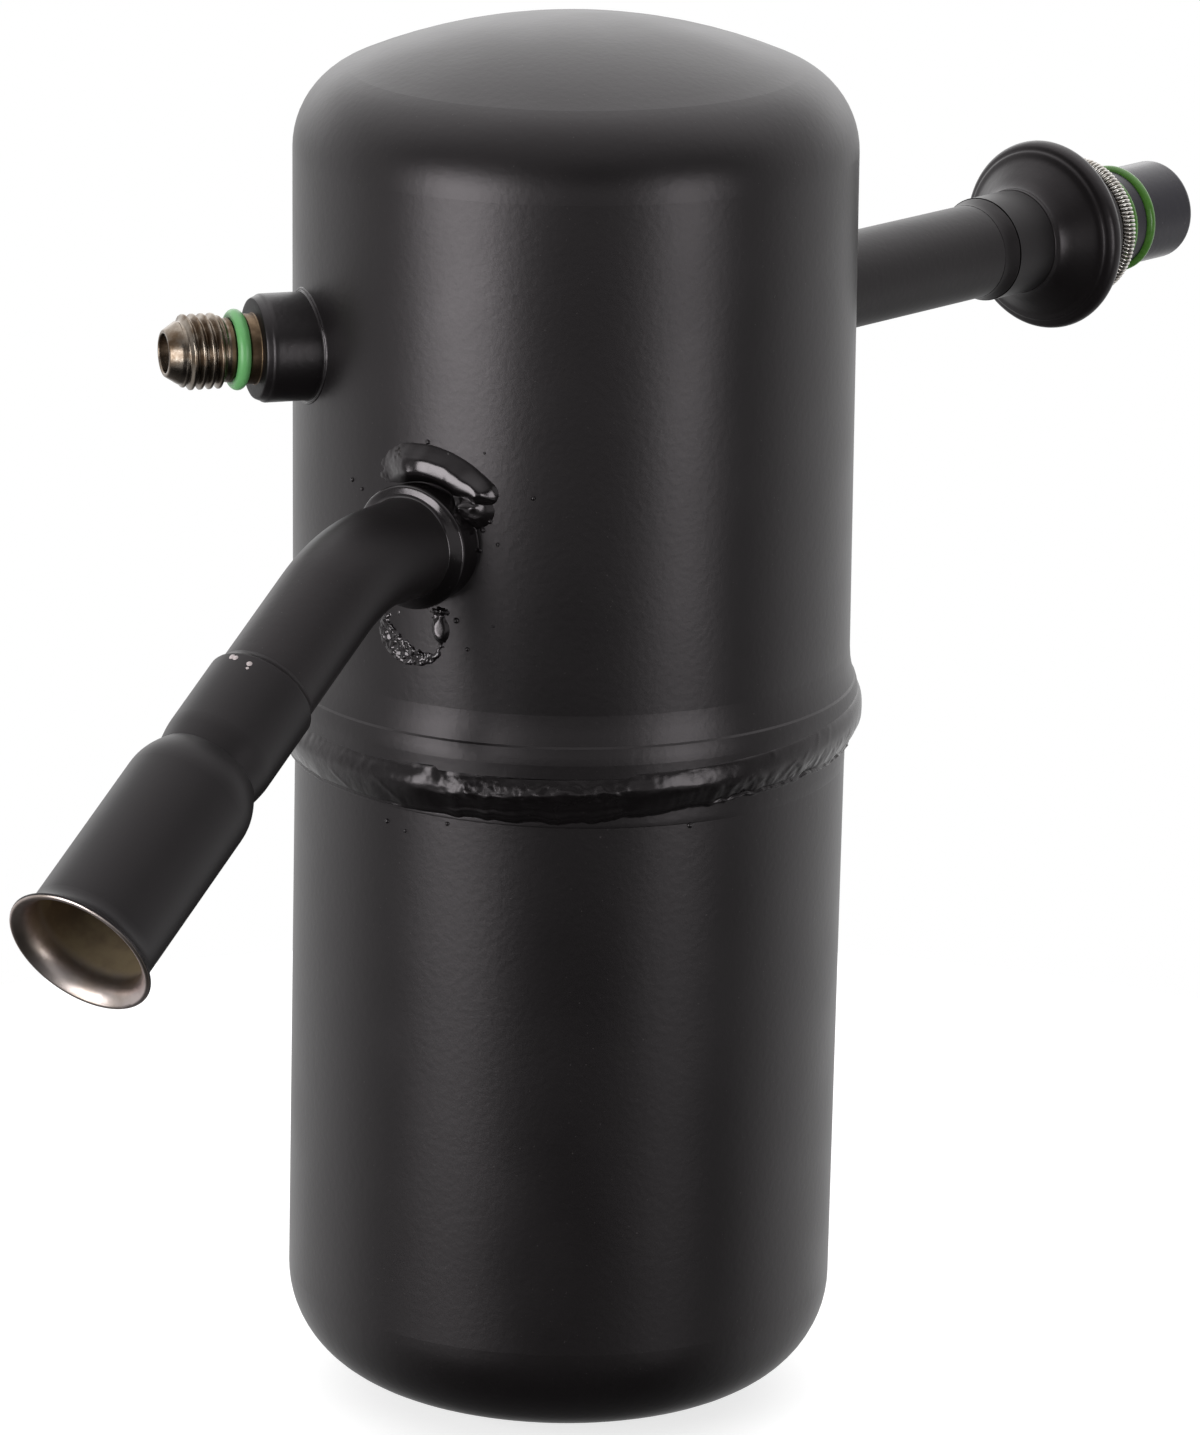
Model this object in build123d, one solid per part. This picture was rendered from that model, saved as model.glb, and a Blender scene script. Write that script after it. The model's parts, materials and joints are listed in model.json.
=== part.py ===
from build123d import *

import math
import os

# A suction line accumulator of a vehicle's air conditioning. Two deep-drawn steel cups
# are welded into a can. The inlet tube slopes down to a flared female coupling, the
# outlet pipe ends in a male coupling with two seals and a garter spring, and the switch
# port holds a sprung valve pin. Inside are the U tube, its deflector and oil filter, and
# a bag of drying beads.
# The origin is the centre of the flat base, Z runs up the can and the outlet pipe leaves
# along +X. Lengths are in millimetres and angles in degrees.

# Can
can_diameter = 88.9
can_height = 226.7
can_wall = 1.8
top_crown_radius = 91.5
top_knuckle_radius = 14.2
base_crown_radius = 123.0
base_knuckle_radius = 16.8
base_flat_diameter = 38.0
shoulder_swell = 0.45

# Lapped seam between the cups
skirt_edge_height = 115.3
skirt_length = 4.9
skirt_clearance = 0.1
skirt_round = 2.6
crease_step = 0.3
flare_length = 4.8
lower_rim_gap = 2.2
rim_draw = 0.6
band_margin = 0.8
lean_angle = 0.7
lean_direction = 131.2
weld_rise = 1.3
weld_drop = 7.5
weld_crown = 0.6
weld_toe_thickness = 0.35

# Tubes
tube_diameter = 15.875
tube_wall = 1.25
hole_clearance = 0.1
socket_clearance = 0.05
braze_length = 3.2
braze_start_rise = 0.12

# Inlet tube and its female coupling
inlet_angle = 190.0
inlet_height = 151.2
inlet_inner_reach = 4.5
inlet_straight = 13.3
inlet_bend_radius = 29.0
inlet_bend_angle = 31.0
inlet_run = 32.9
inlet_sleeve_overlap = 12.5
inlet_coupling_wall = 0.85
stop_neck_length = 4.4
stop_neck_diameter = 16.7
expansion_length = 6.2
bell_diameter = 20.4
bell_length = 28.1
lip_length = 3.8
lip_diameter = 23.8
inlet_weld_leg = 2.6
inlet_weld_reach = 4.6

# Outlet pipe and its male coupling
outlet_height = 174.2
outlet_reach = 73.0
outlet_sleeve_overlap = 15.0
outlet_sleeve_wall = 0.8
sleeve_length = 25.0
nose_length = 23.5
nose_diameter = 16.9
nose_bore_diameter = 12.4
nose_edge_radius = 1.0
groove_depth = 1.12
groove_width = 2.3
front_groove_from_tip = 12.1
rear_groove_from_tip = 17.0
seal_section = 1.85
seal_clearance = 0.02
outlet_weld_leg = 2.2
outlet_weld_reach = 2.4

# Spring cage and garter spring
cage_diameter = 32.3
cage_wall = 0.9
cage_rim_from_tip = 30.8
cage_hub_length = 1.2
cage_dish_depth = 7.1
cage_front_depth = 6.0
cage_mouth_diameter = 21.8
cage_clearance = 0.05
spring_section = 2.0
spring_from_tip = 20.7
spring_clearance = 0.02

# U tube inside the can
outlet_leg_offset = 18.0
intake_leg_offset = 22.0
leg_bend_radius = 18.0
bend_clearance_to_base = 16.0
intake_mouth_height = 196.0
oil_hole_diameter = 1.3
vent_hole_diameter = 1.6
vent_hole_height = 150.0
clip_height = 128.0
clip_thickness = 1.5
clip_margin = 3.0

# Deflector over the intake mouth
deflector_diameter = 72.0
deflector_thickness = 1.5
deflector_crown_radius = 80.0
deflector_rim = 4.0
deflector_gap = 9.0
collar_length = 8.0
collar_wall = 1.5
rib_count = 3
rib_width = 2.5

# Oil filter at the bottom of the U tube
filter_diameter = 24.0
filter_wall = 2.0
filter_cavity_height = 6.0
filter_grip = 3.0
screen_thickness = 0.6
screen_hole_diameter = 1.4
screen_hole_pitch = 2.6
screen_rings = 3
filter_floor_gap = 0.3

# Bag of drying beads and its strap
bag_diameter = 23.0
bag_length = 84.0
bag_end_radius = 8.0
bag_gap = 1.5
tie_height = 62.0
tie_width = 4.6
tie_thickness = 1.2
tie_clearance = 0.05

# Switch port
port_angle = 150.0
port_height = 176.3
boss_diameter = 17.2
boss_length = 7.9
boss_bevel_length = 1.2
boss_bevel_depth = 0.7
neck_diameter = 11.1
neck_length = 1.7
undercut_diameter = 8.6
undercut_length = 2.4
thread_diameter = 12.0
thread_root_diameter = 10.2
thread_length = 8.2
port_nose_length = 2.3
port_nose_diameter = 7.2
port_seal_section = 2.1
port_bore_diameter = 6.2
port_bore_depth = 6.5
spigot_diameter = 13.0
spigot_reach = 1.2
port_weld_leg = 0.8
port_weld_reach = 0.5

# Valve in the port, with its depths measured from the port's tip
core_thread_diameter = 5.4
core_seat_depth = 12.5
core_bore_diameter = 4.2
core_bore_depth = 22.0
passage_diameter = 3.2
core_top_depth = 5.5
core_head_length = 5.5
core_body_diameter = 4.0
core_length = 12.0
core_lip = 0.5
core_land = 2.8
core_clearance = 0.05
chamber_diameter = 3.0
gasket_clearance = 0.02
pin_tip_diameter = 1.8
pin_tip_depth = 3.0
pin_shank_diameter = 1.2
pin_flange_diameter = 2.8
pin_flange_length = 0.6
pin_flange_gap = 0.2
pin_clearance = 0.05
pin_foot_diameter = 2.6
pin_foot_length = 0.6
seat_diameter = 2.9
seat_length = 1.8
seat_gap = 0.05
valve_wire = 0.3
valve_spring_diameter = 2.7
valve_turns = 6
valve_spring_gap = 0.05

# Radii and heights that follow from the sizes above
can_radius = can_diameter / 2
shoulder_radius = can_radius + shoulder_swell
skirt_inner_radius = can_radius + skirt_clearance
skirt_radius = skirt_inner_radius + can_wall
crease_height = skirt_edge_height + skirt_length
tube_radius = tube_diameter / 2
hole_radius = tube_radius + hole_clearance
socket_radius = tube_radius + socket_clearance
outlet_sleeve_radius = socket_radius + outlet_sleeve_wall
inlet_sleeve_radius = socket_radius + inlet_coupling_wall
outlet_pipe_end = shoulder_radius + outlet_reach
outlet_sleeve_start = outlet_pipe_end - outlet_sleeve_overlap
outlet_tip = outlet_sleeve_start + sleeve_length + nose_length
nose_radius = nose_diameter / 2
boss_edge = shoulder_radius + boss_length
port_face = boss_edge + boss_bevel_length
port_tip = port_face + neck_length + undercut_length + thread_length + port_nose_length


def arc(start, middle, end):
    return ThreePointArc(start, middle, end)


def flat(points, closed=True):
    """Straight edges through points in the profile plane."""
    return Polyline(*points, close=closed)


def spun_z(edges):
    """Solid of revolution about Z from a closed outline of (radius, height) points."""
    face = make_face(Plane.XZ * Curve(edges))
    return revolve(face, Axis.Z)


def spun_x(edges):
    """Solid of revolution about X from a closed outline of (station, radius) points."""
    return revolve(make_face(Curve(edges)), Axis.X)


def ring_x(start, end, inner_radius, outer_radius):
    """Plain ring about X between two stations."""
    outline = [(start, inner_radius), (end, inner_radius), (end, outer_radius), (start, outer_radius)]
    return spun_x([flat(outline)])


def hoop_x(station, ring_radius, section):
    """Round ring about X, as a seal or a garter spring."""
    return Pos(station, 0, 0) * Rot(0, 90, 0) * Torus(ring_radius, section / 2)


def radial(angle, height):
    """Places something built along X at a height, pointing out of the can at an angle."""
    return Location((0, 0, height), (0, 0, angle))


def head_angle(radius, crown, knuckle):
    """Angle above the horizontal at which the knuckle meets the crown."""
    return math.acos((radius - knuckle) / (crown - knuckle))


def head_rise(radius, crown, knuckle):
    """Height of a whole head above its tangent line."""
    return crown - (crown - knuckle) * math.sin(head_angle(radius, crown, knuckle))


def head_edges(radius, crown, knuckle, skin, tangent_height, direction, stop_radius=0.0):
    """Knuckle and crown arcs of one head, set inwards by skin, from the can's side to stop_radius.
    Gives the edges and the last point. Direction is 1 for the top and -1 for the base."""
    turn = head_angle(radius, crown, knuckle)
    side = knuckle - skin
    dome = crown - skin
    dome_centre = -(crown - knuckle) * math.sin(turn)

    def knuckle_point(angle):
        return (radius - knuckle + side * math.cos(angle), tangent_height + direction * side * math.sin(angle))

    def crown_point(distance):
        rise = dome_centre + math.sqrt(dome**2 - distance**2)
        return (distance, tangent_height + direction * rise)

    crown_start = dome * math.cos(turn)
    end = crown_point(stop_radius)
    middle = crown_point((crown_start + stop_radius) / 2)
    edges = [
        arc(knuckle_point(0), knuckle_point(turn / 2), knuckle_point(turn)),
        arc(knuckle_point(turn), middle, end),
    ]
    return edges, end


base_crown_drop = base_crown_radius - math.sqrt(base_crown_radius**2 - (base_flat_diameter / 2) ** 2)
base_tangent = head_rise(can_radius, base_crown_radius, base_knuckle_radius) - base_crown_drop
top_tangent = can_height - head_rise(shoulder_radius, top_crown_radius, top_knuckle_radius)


def inner_flat_radius():
    """Radius of the flat inside the base, where the inner crown meets the floor."""
    centre_height = math.sqrt(base_crown_radius**2 - (base_flat_diameter / 2) ** 2)
    return math.sqrt((base_crown_radius - can_wall) ** 2 - (centre_height - can_wall) ** 2)


def floor_height(distance):
    """Height of the can's inner floor at a distance from its axis, flat, crown or knuckle."""
    if distance <= inner_flat_radius():
        return can_wall
    turn = head_angle(can_radius, base_crown_radius, base_knuckle_radius)
    crown = base_crown_radius - can_wall
    if distance <= crown * math.cos(turn):
        centre_height = math.sqrt(base_crown_radius**2 - (base_flat_diameter / 2) ** 2)
        return centre_height - math.sqrt(crown**2 - distance**2)
    across = distance - (can_radius - base_knuckle_radius)
    knuckle = base_knuckle_radius - can_wall
    return base_tangent - math.sqrt(max(knuckle**2 - across**2, 0))


def leaned(shape):
    """Tips a shape as the upper cup sits on the lower one, about the middle of the lapped skirt."""
    pivot = skirt_edge_height + skirt_length / 2
    tip = Rot(0, 0, lean_direction) * Rot(0, lean_angle, 0) * Rot(0, 0, -lean_direction)
    return Pos(0, 0, pivot) * tip * Pos(0, 0, -pivot) * shape


def side_station(angle, height):
    """Distance out at an angle and height at which the leaned upper cup's side is met."""
    shift = (height - skirt_edge_height - skirt_length / 2) * math.sin(math.radians(lean_angle))
    return shoulder_radius + shift * math.cos(math.radians(angle - lean_direction))


def can_body():
    """Everything inside the upper cup's outer side, to trim what seats on it."""
    return leaned(Pos(0, 0, can_height / 2) * Cylinder(shoulder_radius, can_height))


def rim_stations():
    """Heights where the lower cup's rim starts and ends being drawn in under the seam."""
    band_end = skirt_edge_height - weld_drop - band_margin
    return band_end, band_end + rim_draw


def lower_side():
    """Everything inside the lower cup's outer side round the seam, to trim the bead."""
    band_end, draw_end = rim_stations()
    rim_radius = can_radius - rim_draw
    start = base_tangent
    end = crease_height
    outline = [(0, start), (can_radius, start), (can_radius, band_end), (rim_radius, draw_end), (rim_radius, end), (0, end)]
    return spun_z([flat(outline)])


def lower_shell():
    """Drawn lower cup: flat centre, crown, knuckle, straight side and a rim drawn in under the seam."""
    rim = crease_height - lower_rim_gap
    band_end, draw_end = rim_stations()
    flat_radius = base_flat_diameter / 2
    outer, outer_end = head_edges(
        can_radius, base_crown_radius, base_knuckle_radius, 0.0, base_tangent, -1, flat_radius
    )
    inner, inner_end = head_edges(
        can_radius, base_crown_radius, base_knuckle_radius, can_wall, base_tangent, -1, inner_flat_radius()
    )
    inner_radius = can_radius - can_wall
    edges = [
        *outer,
        flat([outer_end, (0, 0), (0, can_wall), inner_end], closed=False),
        *inner,
        flat(
            [
                (inner_radius, base_tangent),
                (inner_radius, band_end),
                (inner_radius - rim_draw, draw_end),
                (inner_radius - rim_draw, rim),
                (can_radius - rim_draw, rim),
                (can_radius - rim_draw, draw_end),
                (can_radius, band_end),
                (can_radius, base_tangent),
            ],
            closed=False,
        ),
    ]
    return spun_z(edges)


def shell_side(skin):
    """Side of the upper cup from its skirt's edge up to the knuckle, set inwards by skin."""
    skirt = skirt_radius - skin
    shoulder = shoulder_radius - skin
    widening = skirt - shoulder
    flare_growth = 0.5 * widening
    round_growth = 0.3 * widening
    step_top = crease_height + crease_step / 2
    step_foot = crease_height - crease_step / 2
    flare_top = step_top + flare_length
    round_foot = step_foot - skirt_round
    return [
        flat([(skirt, skirt_edge_height), (skirt, round_foot)], closed=False),
        Spline(
            (skirt, round_foot),
            (skirt - round_growth, step_foot),
            tangents=[(0, 1), (-2 * round_growth / skirt_round, 1)],
        ),
        flat([(skirt - round_growth, step_foot), (shoulder + flare_growth, step_top)], closed=False),
        Spline(
            (shoulder + flare_growth, step_top),
            (shoulder, flare_top),
            tangents=[(-2 * flare_growth / flare_length, 1), (0, 1)],
        ),
        flat([(shoulder, flare_top), (shoulder, top_tangent)], closed=False),
    ]


def upper_shell():
    """Drawn upper cup with its skirt, and holes for the two tubes and the port."""
    outer, outer_top = head_edges(
        shoulder_radius, top_crown_radius, top_knuckle_radius, 0.0, top_tangent, 1
    )
    inner, inner_top = head_edges(
        shoulder_radius, top_crown_radius, top_knuckle_radius, can_wall, top_tangent, 1
    )
    edges = [
        *shell_side(0.0),
        *outer,
        flat([outer_top, inner_top], closed=False),
        *inner,
        *shell_side(can_wall),
        flat([(skirt_inner_radius, skirt_edge_height), (skirt_radius, skirt_edge_height)], closed=False),
    ]
    shell = leaned(spun_z(edges))
    cutter_length = shoulder_radius * 2
    along_x = Pos(cutter_length / 2, 0, 0) * Rot(0, 90, 0)
    tube_cutter = along_x * Cylinder(hole_radius, cutter_length)
    port_cutter = along_x * Cylinder(spigot_diameter / 2 + hole_clearance, cutter_length)
    shell -= radial(0, outlet_height) * tube_cutter
    shell -= radial(inlet_angle, inlet_height) * tube_cutter
    shell -= radial(port_angle, port_height) * port_cutter
    return shell


def seam_weld():
    """Bead that closes the skirt's edge onto the lower cup, whose upright side is cut out of it."""
    top = skirt_edge_height + weld_rise
    toe = skirt_edge_height - weld_drop
    toe_radius = can_radius + weld_toe_thickness
    belly = skirt_radius + weld_crown
    inside = can_radius - can_wall
    edges = [
        arc((skirt_radius, top), (belly, skirt_edge_height - weld_rise), (toe_radius, toe)),
        flat(
            [
                (toe_radius, toe),
                (inside, toe),
                (inside, skirt_edge_height),
                (skirt_radius, skirt_edge_height),
                (skirt_radius, top),
            ],
            closed=False,
        ),
    ]
    return leaned(spun_z(edges)) - lower_side()


def root_weld(angle, height, bore_radius, stem_radius, leg, reach):
    """Weld ring where a round stem leaves the can: a cone trimmed by the can and the stem."""
    side = side_station(angle, height)
    start = side / 2
    end = side + reach
    foot = stem_radius + leg
    outline = [
        (start, bore_radius),
        (end, bore_radius),
        (end, stem_radius + leg / 4),
        (side + reach / 2, stem_radius + leg * 0.8),
        (side, foot),
        (start, foot),
    ]
    return radial(angle, height) * spun_x([flat(outline)]) - can_body()


def annulus(plane, radius, wall):
    return plane * (Circle(radius) - Circle(radius - wall))


def inlet_path():
    """Line, bend and line of the inlet tube, in its own upright plane with X out of the can."""
    turn = math.radians(inlet_bend_angle)
    start = shoulder_radius - can_wall - inlet_inner_reach
    bend_start = shoulder_radius + inlet_straight

    def bend_point(angle):
        across = inlet_bend_radius * math.sin(angle)
        return Vector(bend_start + across, 0, -inlet_bend_radius * (1 - math.cos(angle)))

    bend_end = bend_point(turn)
    direction = Vector(math.cos(turn), 0, -math.sin(turn))
    edges = [
        Line((start, 0, 0), (bend_start, 0, 0)),
        ThreePointArc((bend_start, 0, 0), bend_point(turn / 2), bend_end),
        Line(bend_end, bend_end + direction * inlet_run),
    ]
    return edges, start, bend_end, direction


def inlet_tube():
    edges, start, _, _ = inlet_path()
    plane = Plane(origin=(start, 0, 0), z_dir=(1, 0, 0))
    tube = sweep(annulus(plane, tube_radius, tube_wall), path=Wire(edges))
    return radial(inlet_angle, inlet_height) * tube


def on_inlet_run(shape):
    """Places something built along X on the sloping run, with X = 0 at the bend's end."""
    _, _, bend_end, direction = inlet_path()
    run_plane = Plane(origin=bend_end, x_dir=direction, z_dir=(0, 1, 0))
    return radial(inlet_angle, inlet_height) * run_plane.location * shape


def inlet_coupling():
    """Female half: sleeve over the tube, neck that stops it, expansion, bell and flared lip."""
    wall = inlet_coupling_wall
    sleeve_start = inlet_run - inlet_sleeve_overlap
    neck_station = inlet_run + stop_neck_length
    bell_start = neck_station + expansion_length
    lip_start = bell_start + bell_length
    tip = lip_start + lip_length
    neck = stop_neck_diameter / 2
    bell = bell_diameter / 2
    lip = lip_diameter / 2
    along = (1, 0)
    pinched = (1, -0.12)
    opened = (1, 0.55)
    flared = (1, 1.6)
    outer = [
        flat([(sleeve_start, inlet_sleeve_radius), (inlet_run, inlet_sleeve_radius)], closed=False),
        Spline((inlet_run, inlet_sleeve_radius), (neck_station, neck), tangents=[along, pinched]),
        Spline((neck_station, neck), (bell_start, bell), tangents=[opened, along]),
        flat([(bell_start, bell), (lip_start, bell)], closed=False),
        Spline((lip_start, bell), (tip - wall / 2, lip), tangents=[along, flared]),
    ]
    inner = [
        flat([(sleeve_start, socket_radius), (inlet_run, socket_radius)], closed=False),
        Spline((inlet_run, socket_radius), (neck_station, neck - wall), tangents=[along, along]),
        Spline(
            (neck_station, neck - wall),
            (bell_start + wall / 2, bell - wall),
            tangents=[along, along],
        ),
        flat([(bell_start + wall / 2, bell - wall), (lip_start, bell - wall)], closed=False),
        Spline((lip_start, bell - wall), (tip, lip - wall), tangents=[along, flared]),
    ]
    ends = [
        flat([(sleeve_start, inlet_sleeve_radius), (sleeve_start, socket_radius)], closed=False),
        arc((tip - wall / 2, lip), (tip + wall * 0.1, lip - wall * 0.35), (tip, lip - wall)),
    ]
    return on_inlet_run(spun_x([*outer, *inner, *ends]))


def braze_ring(seam, sleeve_radius, bore_radius):
    """Tapered filler ring that ends against a sleeve's edge at the seam station."""
    outline = [
        (seam - braze_length, bore_radius),
        (seam, bore_radius),
        (seam, sleeve_radius),
        (seam - braze_length, bore_radius + braze_start_rise),
    ]
    return spun_x([flat(outline)])


def inlet_braze():
    seam = inlet_run - inlet_sleeve_overlap
    return on_inlet_run(braze_ring(seam, inlet_sleeve_radius - socket_clearance, tube_radius))


def outlet_path():
    """Centre line of the outlet pipe and the U tube, in the XZ plane, from the outer end in."""
    bend_height = can_wall + bend_clearance_to_base + tube_radius
    corners = [
        (outlet_pipe_end, 0, outlet_height),
        (outlet_leg_offset, 0, outlet_height),
        (outlet_leg_offset, 0, bend_height),
        (-intake_leg_offset, 0, bend_height),
        (-intake_leg_offset, 0, intake_mouth_height),
    ]
    return FilletPolyline(*corners, radius=leg_bend_radius), bend_height


def outlet_solid(radius):
    path, _ = outlet_path()
    plane = Plane(origin=(outlet_pipe_end, 0, outlet_height), z_dir=(-1, 0, 0))
    return sweep(plane * Circle(radius), path=path)


def outlet_pipe():
    _, bend_height = outlet_path()
    pipe = outlet_solid(tube_radius) - outlet_solid(tube_radius - tube_wall)
    middle = (outlet_leg_offset - intake_leg_offset) / 2
    oil_hole = Pos(middle, 0, bend_height - tube_radius) * Cylinder(oil_hole_diameter / 2, 4 * tube_wall)
    vent = Rot(90, 0, 0) * Cylinder(vent_hole_diameter / 2, 4 * tube_wall)
    vent_hole = Pos(outlet_leg_offset, tube_radius, vent_hole_height) * vent
    return pipe - oil_hole - vent_hole


def outlet_coupling():
    """Male half: sleeve over the pipe, then the nose with two seal grooves."""
    wall_end = outlet_sleeve_start + sleeve_length
    stop = outlet_pipe_end + socket_clearance
    bore = nose_bore_diameter / 2
    groove = nose_radius - groove_depth
    outline = [
        (outlet_sleeve_start, socket_radius),
        (stop, socket_radius),
        (stop, bore),
        (outlet_tip, bore),
        (outlet_tip, nose_radius),
    ]
    for from_tip in (front_groove_from_tip, rear_groove_from_tip):
        front = outlet_tip - from_tip + groove_width / 2
        back = front - groove_width
        outline += [(front, nose_radius), (front, groove), (back, groove), (back, nose_radius)]
    outline += [
        (wall_end, nose_radius),
        (wall_end - (outlet_sleeve_radius - nose_radius), outlet_sleeve_radius),
        (outlet_sleeve_start, outlet_sleeve_radius),
    ]
    body = spun_x([flat(outline)])
    tip_edges = body.edges().filter_by(GeomType.CIRCLE).group_by(Axis.X)[-1]
    outer_edge = tip_edges.sort_by(SortBy.RADIUS)[-1]
    return radial(0, outlet_height) * fillet(outer_edge, nose_edge_radius)


def outlet_braze():
    ring = braze_ring(outlet_sleeve_start, outlet_sleeve_radius - socket_clearance, tube_radius)
    return radial(0, outlet_height) * ring


def seal_ring(from_tip):
    ring_radius = nose_radius - groove_depth + seal_clearance + seal_section / 2
    return radial(0, outlet_height) * hoop_x(outlet_tip - from_tip, ring_radius, seal_section)


def inset(points, skin):
    """Points moved by skin to the right of the way they run."""
    moved = []
    for index, (station, radius) in enumerate(points):
        before = points[max(index - 1, 0)]
        after = points[min(index + 1, len(points) - 1)]
        run = after[0] - before[0]
        rise = after[1] - before[1]
        length = math.hypot(run, rise)
        moved.append((station + skin * rise / length, radius - skin * run / length))
    return moved


def cage_side():
    """Outer side of the cage, from the hub's end over the rim to the mouth."""
    rim_station = outlet_tip - cage_rim_from_tip
    hub = outlet_sleeve_radius + cage_clearance + cage_wall
    rim = cage_diameter / 2
    mouth = cage_mouth_diameter / 2
    dish = [(0.0, 0.0), (0.25, 0.1), (0.48, 0.34), (0.66, 0.62), (0.83, 0.86), (1.0, 1.0)]
    front = [(0.2, 0.87), (0.5, 0.5), (1.0, 0.0)]
    back = rim_station - cage_dish_depth
    points = [(back + along * cage_dish_depth, hub + part * (rim - hub)) for along, part in dish]
    points += [(rim_station + along * cage_front_depth, mouth + part * (rim - mouth)) for along, part in front]
    return points


def spring_cage():
    """Spun cup: hub on the sleeve, dished back, round rim and a front that turns inwards."""
    outer = cage_side()
    inner = inset(outer, cage_wall)
    hub_start = outer[0][0] - cage_hub_length
    bore = outlet_sleeve_radius + cage_clearance
    inner[0] = (outer[0][0], bore)
    edges = [
        flat([(hub_start, outer[0][1]), outer[0]], closed=False),
        Spline(*outer, tangents=[(1, 0), (0.75, -0.75)]),
        flat([outer[-1], inner[-1]], closed=False),
        Spline(*inner, tangents=[(1, 0), (0.75, -0.75)]),
        flat([inner[0], (hub_start, bore), (hub_start, outer[0][1])], closed=False),
    ]
    return radial(0, outlet_height) * spun_x(edges)


def garter_spring():
    """Envelope of the coiled ring that rests on the nose in the cage's mouth."""
    ring_radius = nose_radius + spring_clearance + spring_section / 2
    return radial(0, outlet_height) * hoop_x(outlet_tip - spring_from_tip, ring_radius, spring_section)


def switch_port():
    """Turned boss, stepped neck, undercut for the seal, thread and coned nose, bored through."""
    boss = boss_diameter / 2
    thread = thread_diameter / 2
    undercut = undercut_diameter / 2
    neck = neck_diameter / 2
    neck_end = port_face + neck_length
    undercut_end = neck_end + undercut_length
    thread_end = port_tip - port_nose_length
    lead = (thread_diameter - thread_root_diameter) / 2
    inner_end = shoulder_radius - can_wall - spigot_reach
    bore = port_bore_diameter / 2
    core_thread = core_thread_diameter / 2
    core_bore = core_bore_diameter / 2
    passage = passage_diameter / 2
    outline = [
        (inner_end, spigot_diameter / 2),
        (shoulder_radius / 2 + inner_end / 2, spigot_diameter / 2),
        (shoulder_radius / 2 + inner_end / 2, boss),
        (boss_edge, boss),
        (port_face - boss_bevel_length / 4, boss - boss_bevel_depth / 2),
        (port_face, boss - boss_bevel_depth),
        (port_face, neck),
        (neck_end, neck),
        (neck_end, undercut),
        (undercut_end, undercut),
        (undercut_end, thread - lead),
        (undercut_end + lead / 2, thread),
        (thread_end - lead / 2, thread),
        (thread_end, thread - lead),
        (port_tip, port_nose_diameter / 2),
        (port_tip, bore),
        (port_tip - port_bore_depth, bore),
        (port_tip - port_bore_depth, core_thread),
        (port_tip - core_seat_depth, core_thread),
        (port_tip - core_seat_depth, core_bore),
        (port_tip - core_bore_depth, core_bore),
        (port_tip - core_bore_depth, passage),
        (inner_end, passage),
    ]
    turned = radial(port_angle, port_height) * spun_x([flat(outline)])
    spigot = radial(port_angle, port_height) * ring_x(inner_end, port_face, passage, spigot_diameter / 2)
    core_space = radial(port_angle, port_height) * ring_x(
        port_tip - core_bore_depth, port_tip - core_seat_depth, 0, core_bore
    )
    return (turned - can_body()) + (spigot - core_space)


def port_seal():
    ring_radius = undercut_diameter / 2 + seal_clearance + port_seal_section / 2
    station = port_face + neck_length + undercut_length / 2
    return radial(port_angle, port_height) * hoop_x(station, ring_radius, port_seal_section)


def port_weld():
    boss = boss_diameter / 2
    return root_weld(port_angle, port_height, boss, boss, port_weld_leg, port_weld_reach)


core_top = port_tip - core_top_depth
core_bottom = core_top - core_length
head_bottom = core_top - core_head_length
chamber_floor = core_bottom + core_land


def valve_core():
    """Threaded sleeve with a chamber for the spring and a guide land for the pin."""
    head = core_thread_diameter / 2 - core_clearance
    body = core_body_diameter / 2
    chamber = chamber_diameter / 2
    lip_bore = pin_tip_diameter / 2 + pin_clearance
    guide = pin_shank_diameter / 2 + pin_clearance
    outline = [
        (core_bottom, body),
        (head_bottom, body),
        (head_bottom, head),
        (core_top, head),
        (core_top, lip_bore),
        (core_top - core_lip, lip_bore),
        (core_top - core_lip, chamber),
        (chamber_floor, chamber),
        (chamber_floor, guide),
        (core_bottom, guide),
    ]
    return radial(port_angle, port_height) * spun_x([flat(outline)])


def valve_gasket():
    """Sealing ring between the core's head and the step in the port."""
    inner = core_body_diameter / 2 + gasket_clearance
    outer = core_thread_diameter / 2 - gasket_clearance
    return radial(port_angle, port_height) * ring_x(port_tip - core_seat_depth, head_bottom, inner, outer)


flange_top = core_top - core_lip - pin_flange_gap
flange_bottom = flange_top - pin_flange_length
seat_top = core_bottom - seat_gap
seat_bottom = seat_top - seat_length


def valve_pin():
    """Pin with its touch tip, spring flange, thin shank and foot."""
    tip = port_tip - pin_tip_depth
    outline = [
        (seat_bottom - pin_foot_length, 0),
        (seat_bottom - pin_foot_length, pin_foot_diameter / 2),
        (seat_bottom, pin_foot_diameter / 2),
        (seat_bottom, pin_shank_diameter / 2),
        (flange_bottom, pin_shank_diameter / 2),
        (flange_bottom, pin_flange_diameter / 2),
        (flange_top, pin_flange_diameter / 2),
        (flange_top, pin_tip_diameter / 2),
        (tip, pin_tip_diameter / 2),
        (tip, 0),
    ]
    return radial(port_angle, port_height) * spun_x([flat(outline)])


def valve_seat():
    """Rubber washer on the pin that closes the core from inside."""
    inner = pin_shank_diameter / 2 + seal_clearance
    return radial(port_angle, port_height) * ring_x(seat_bottom, seat_top, inner, seat_diameter / 2)


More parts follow.
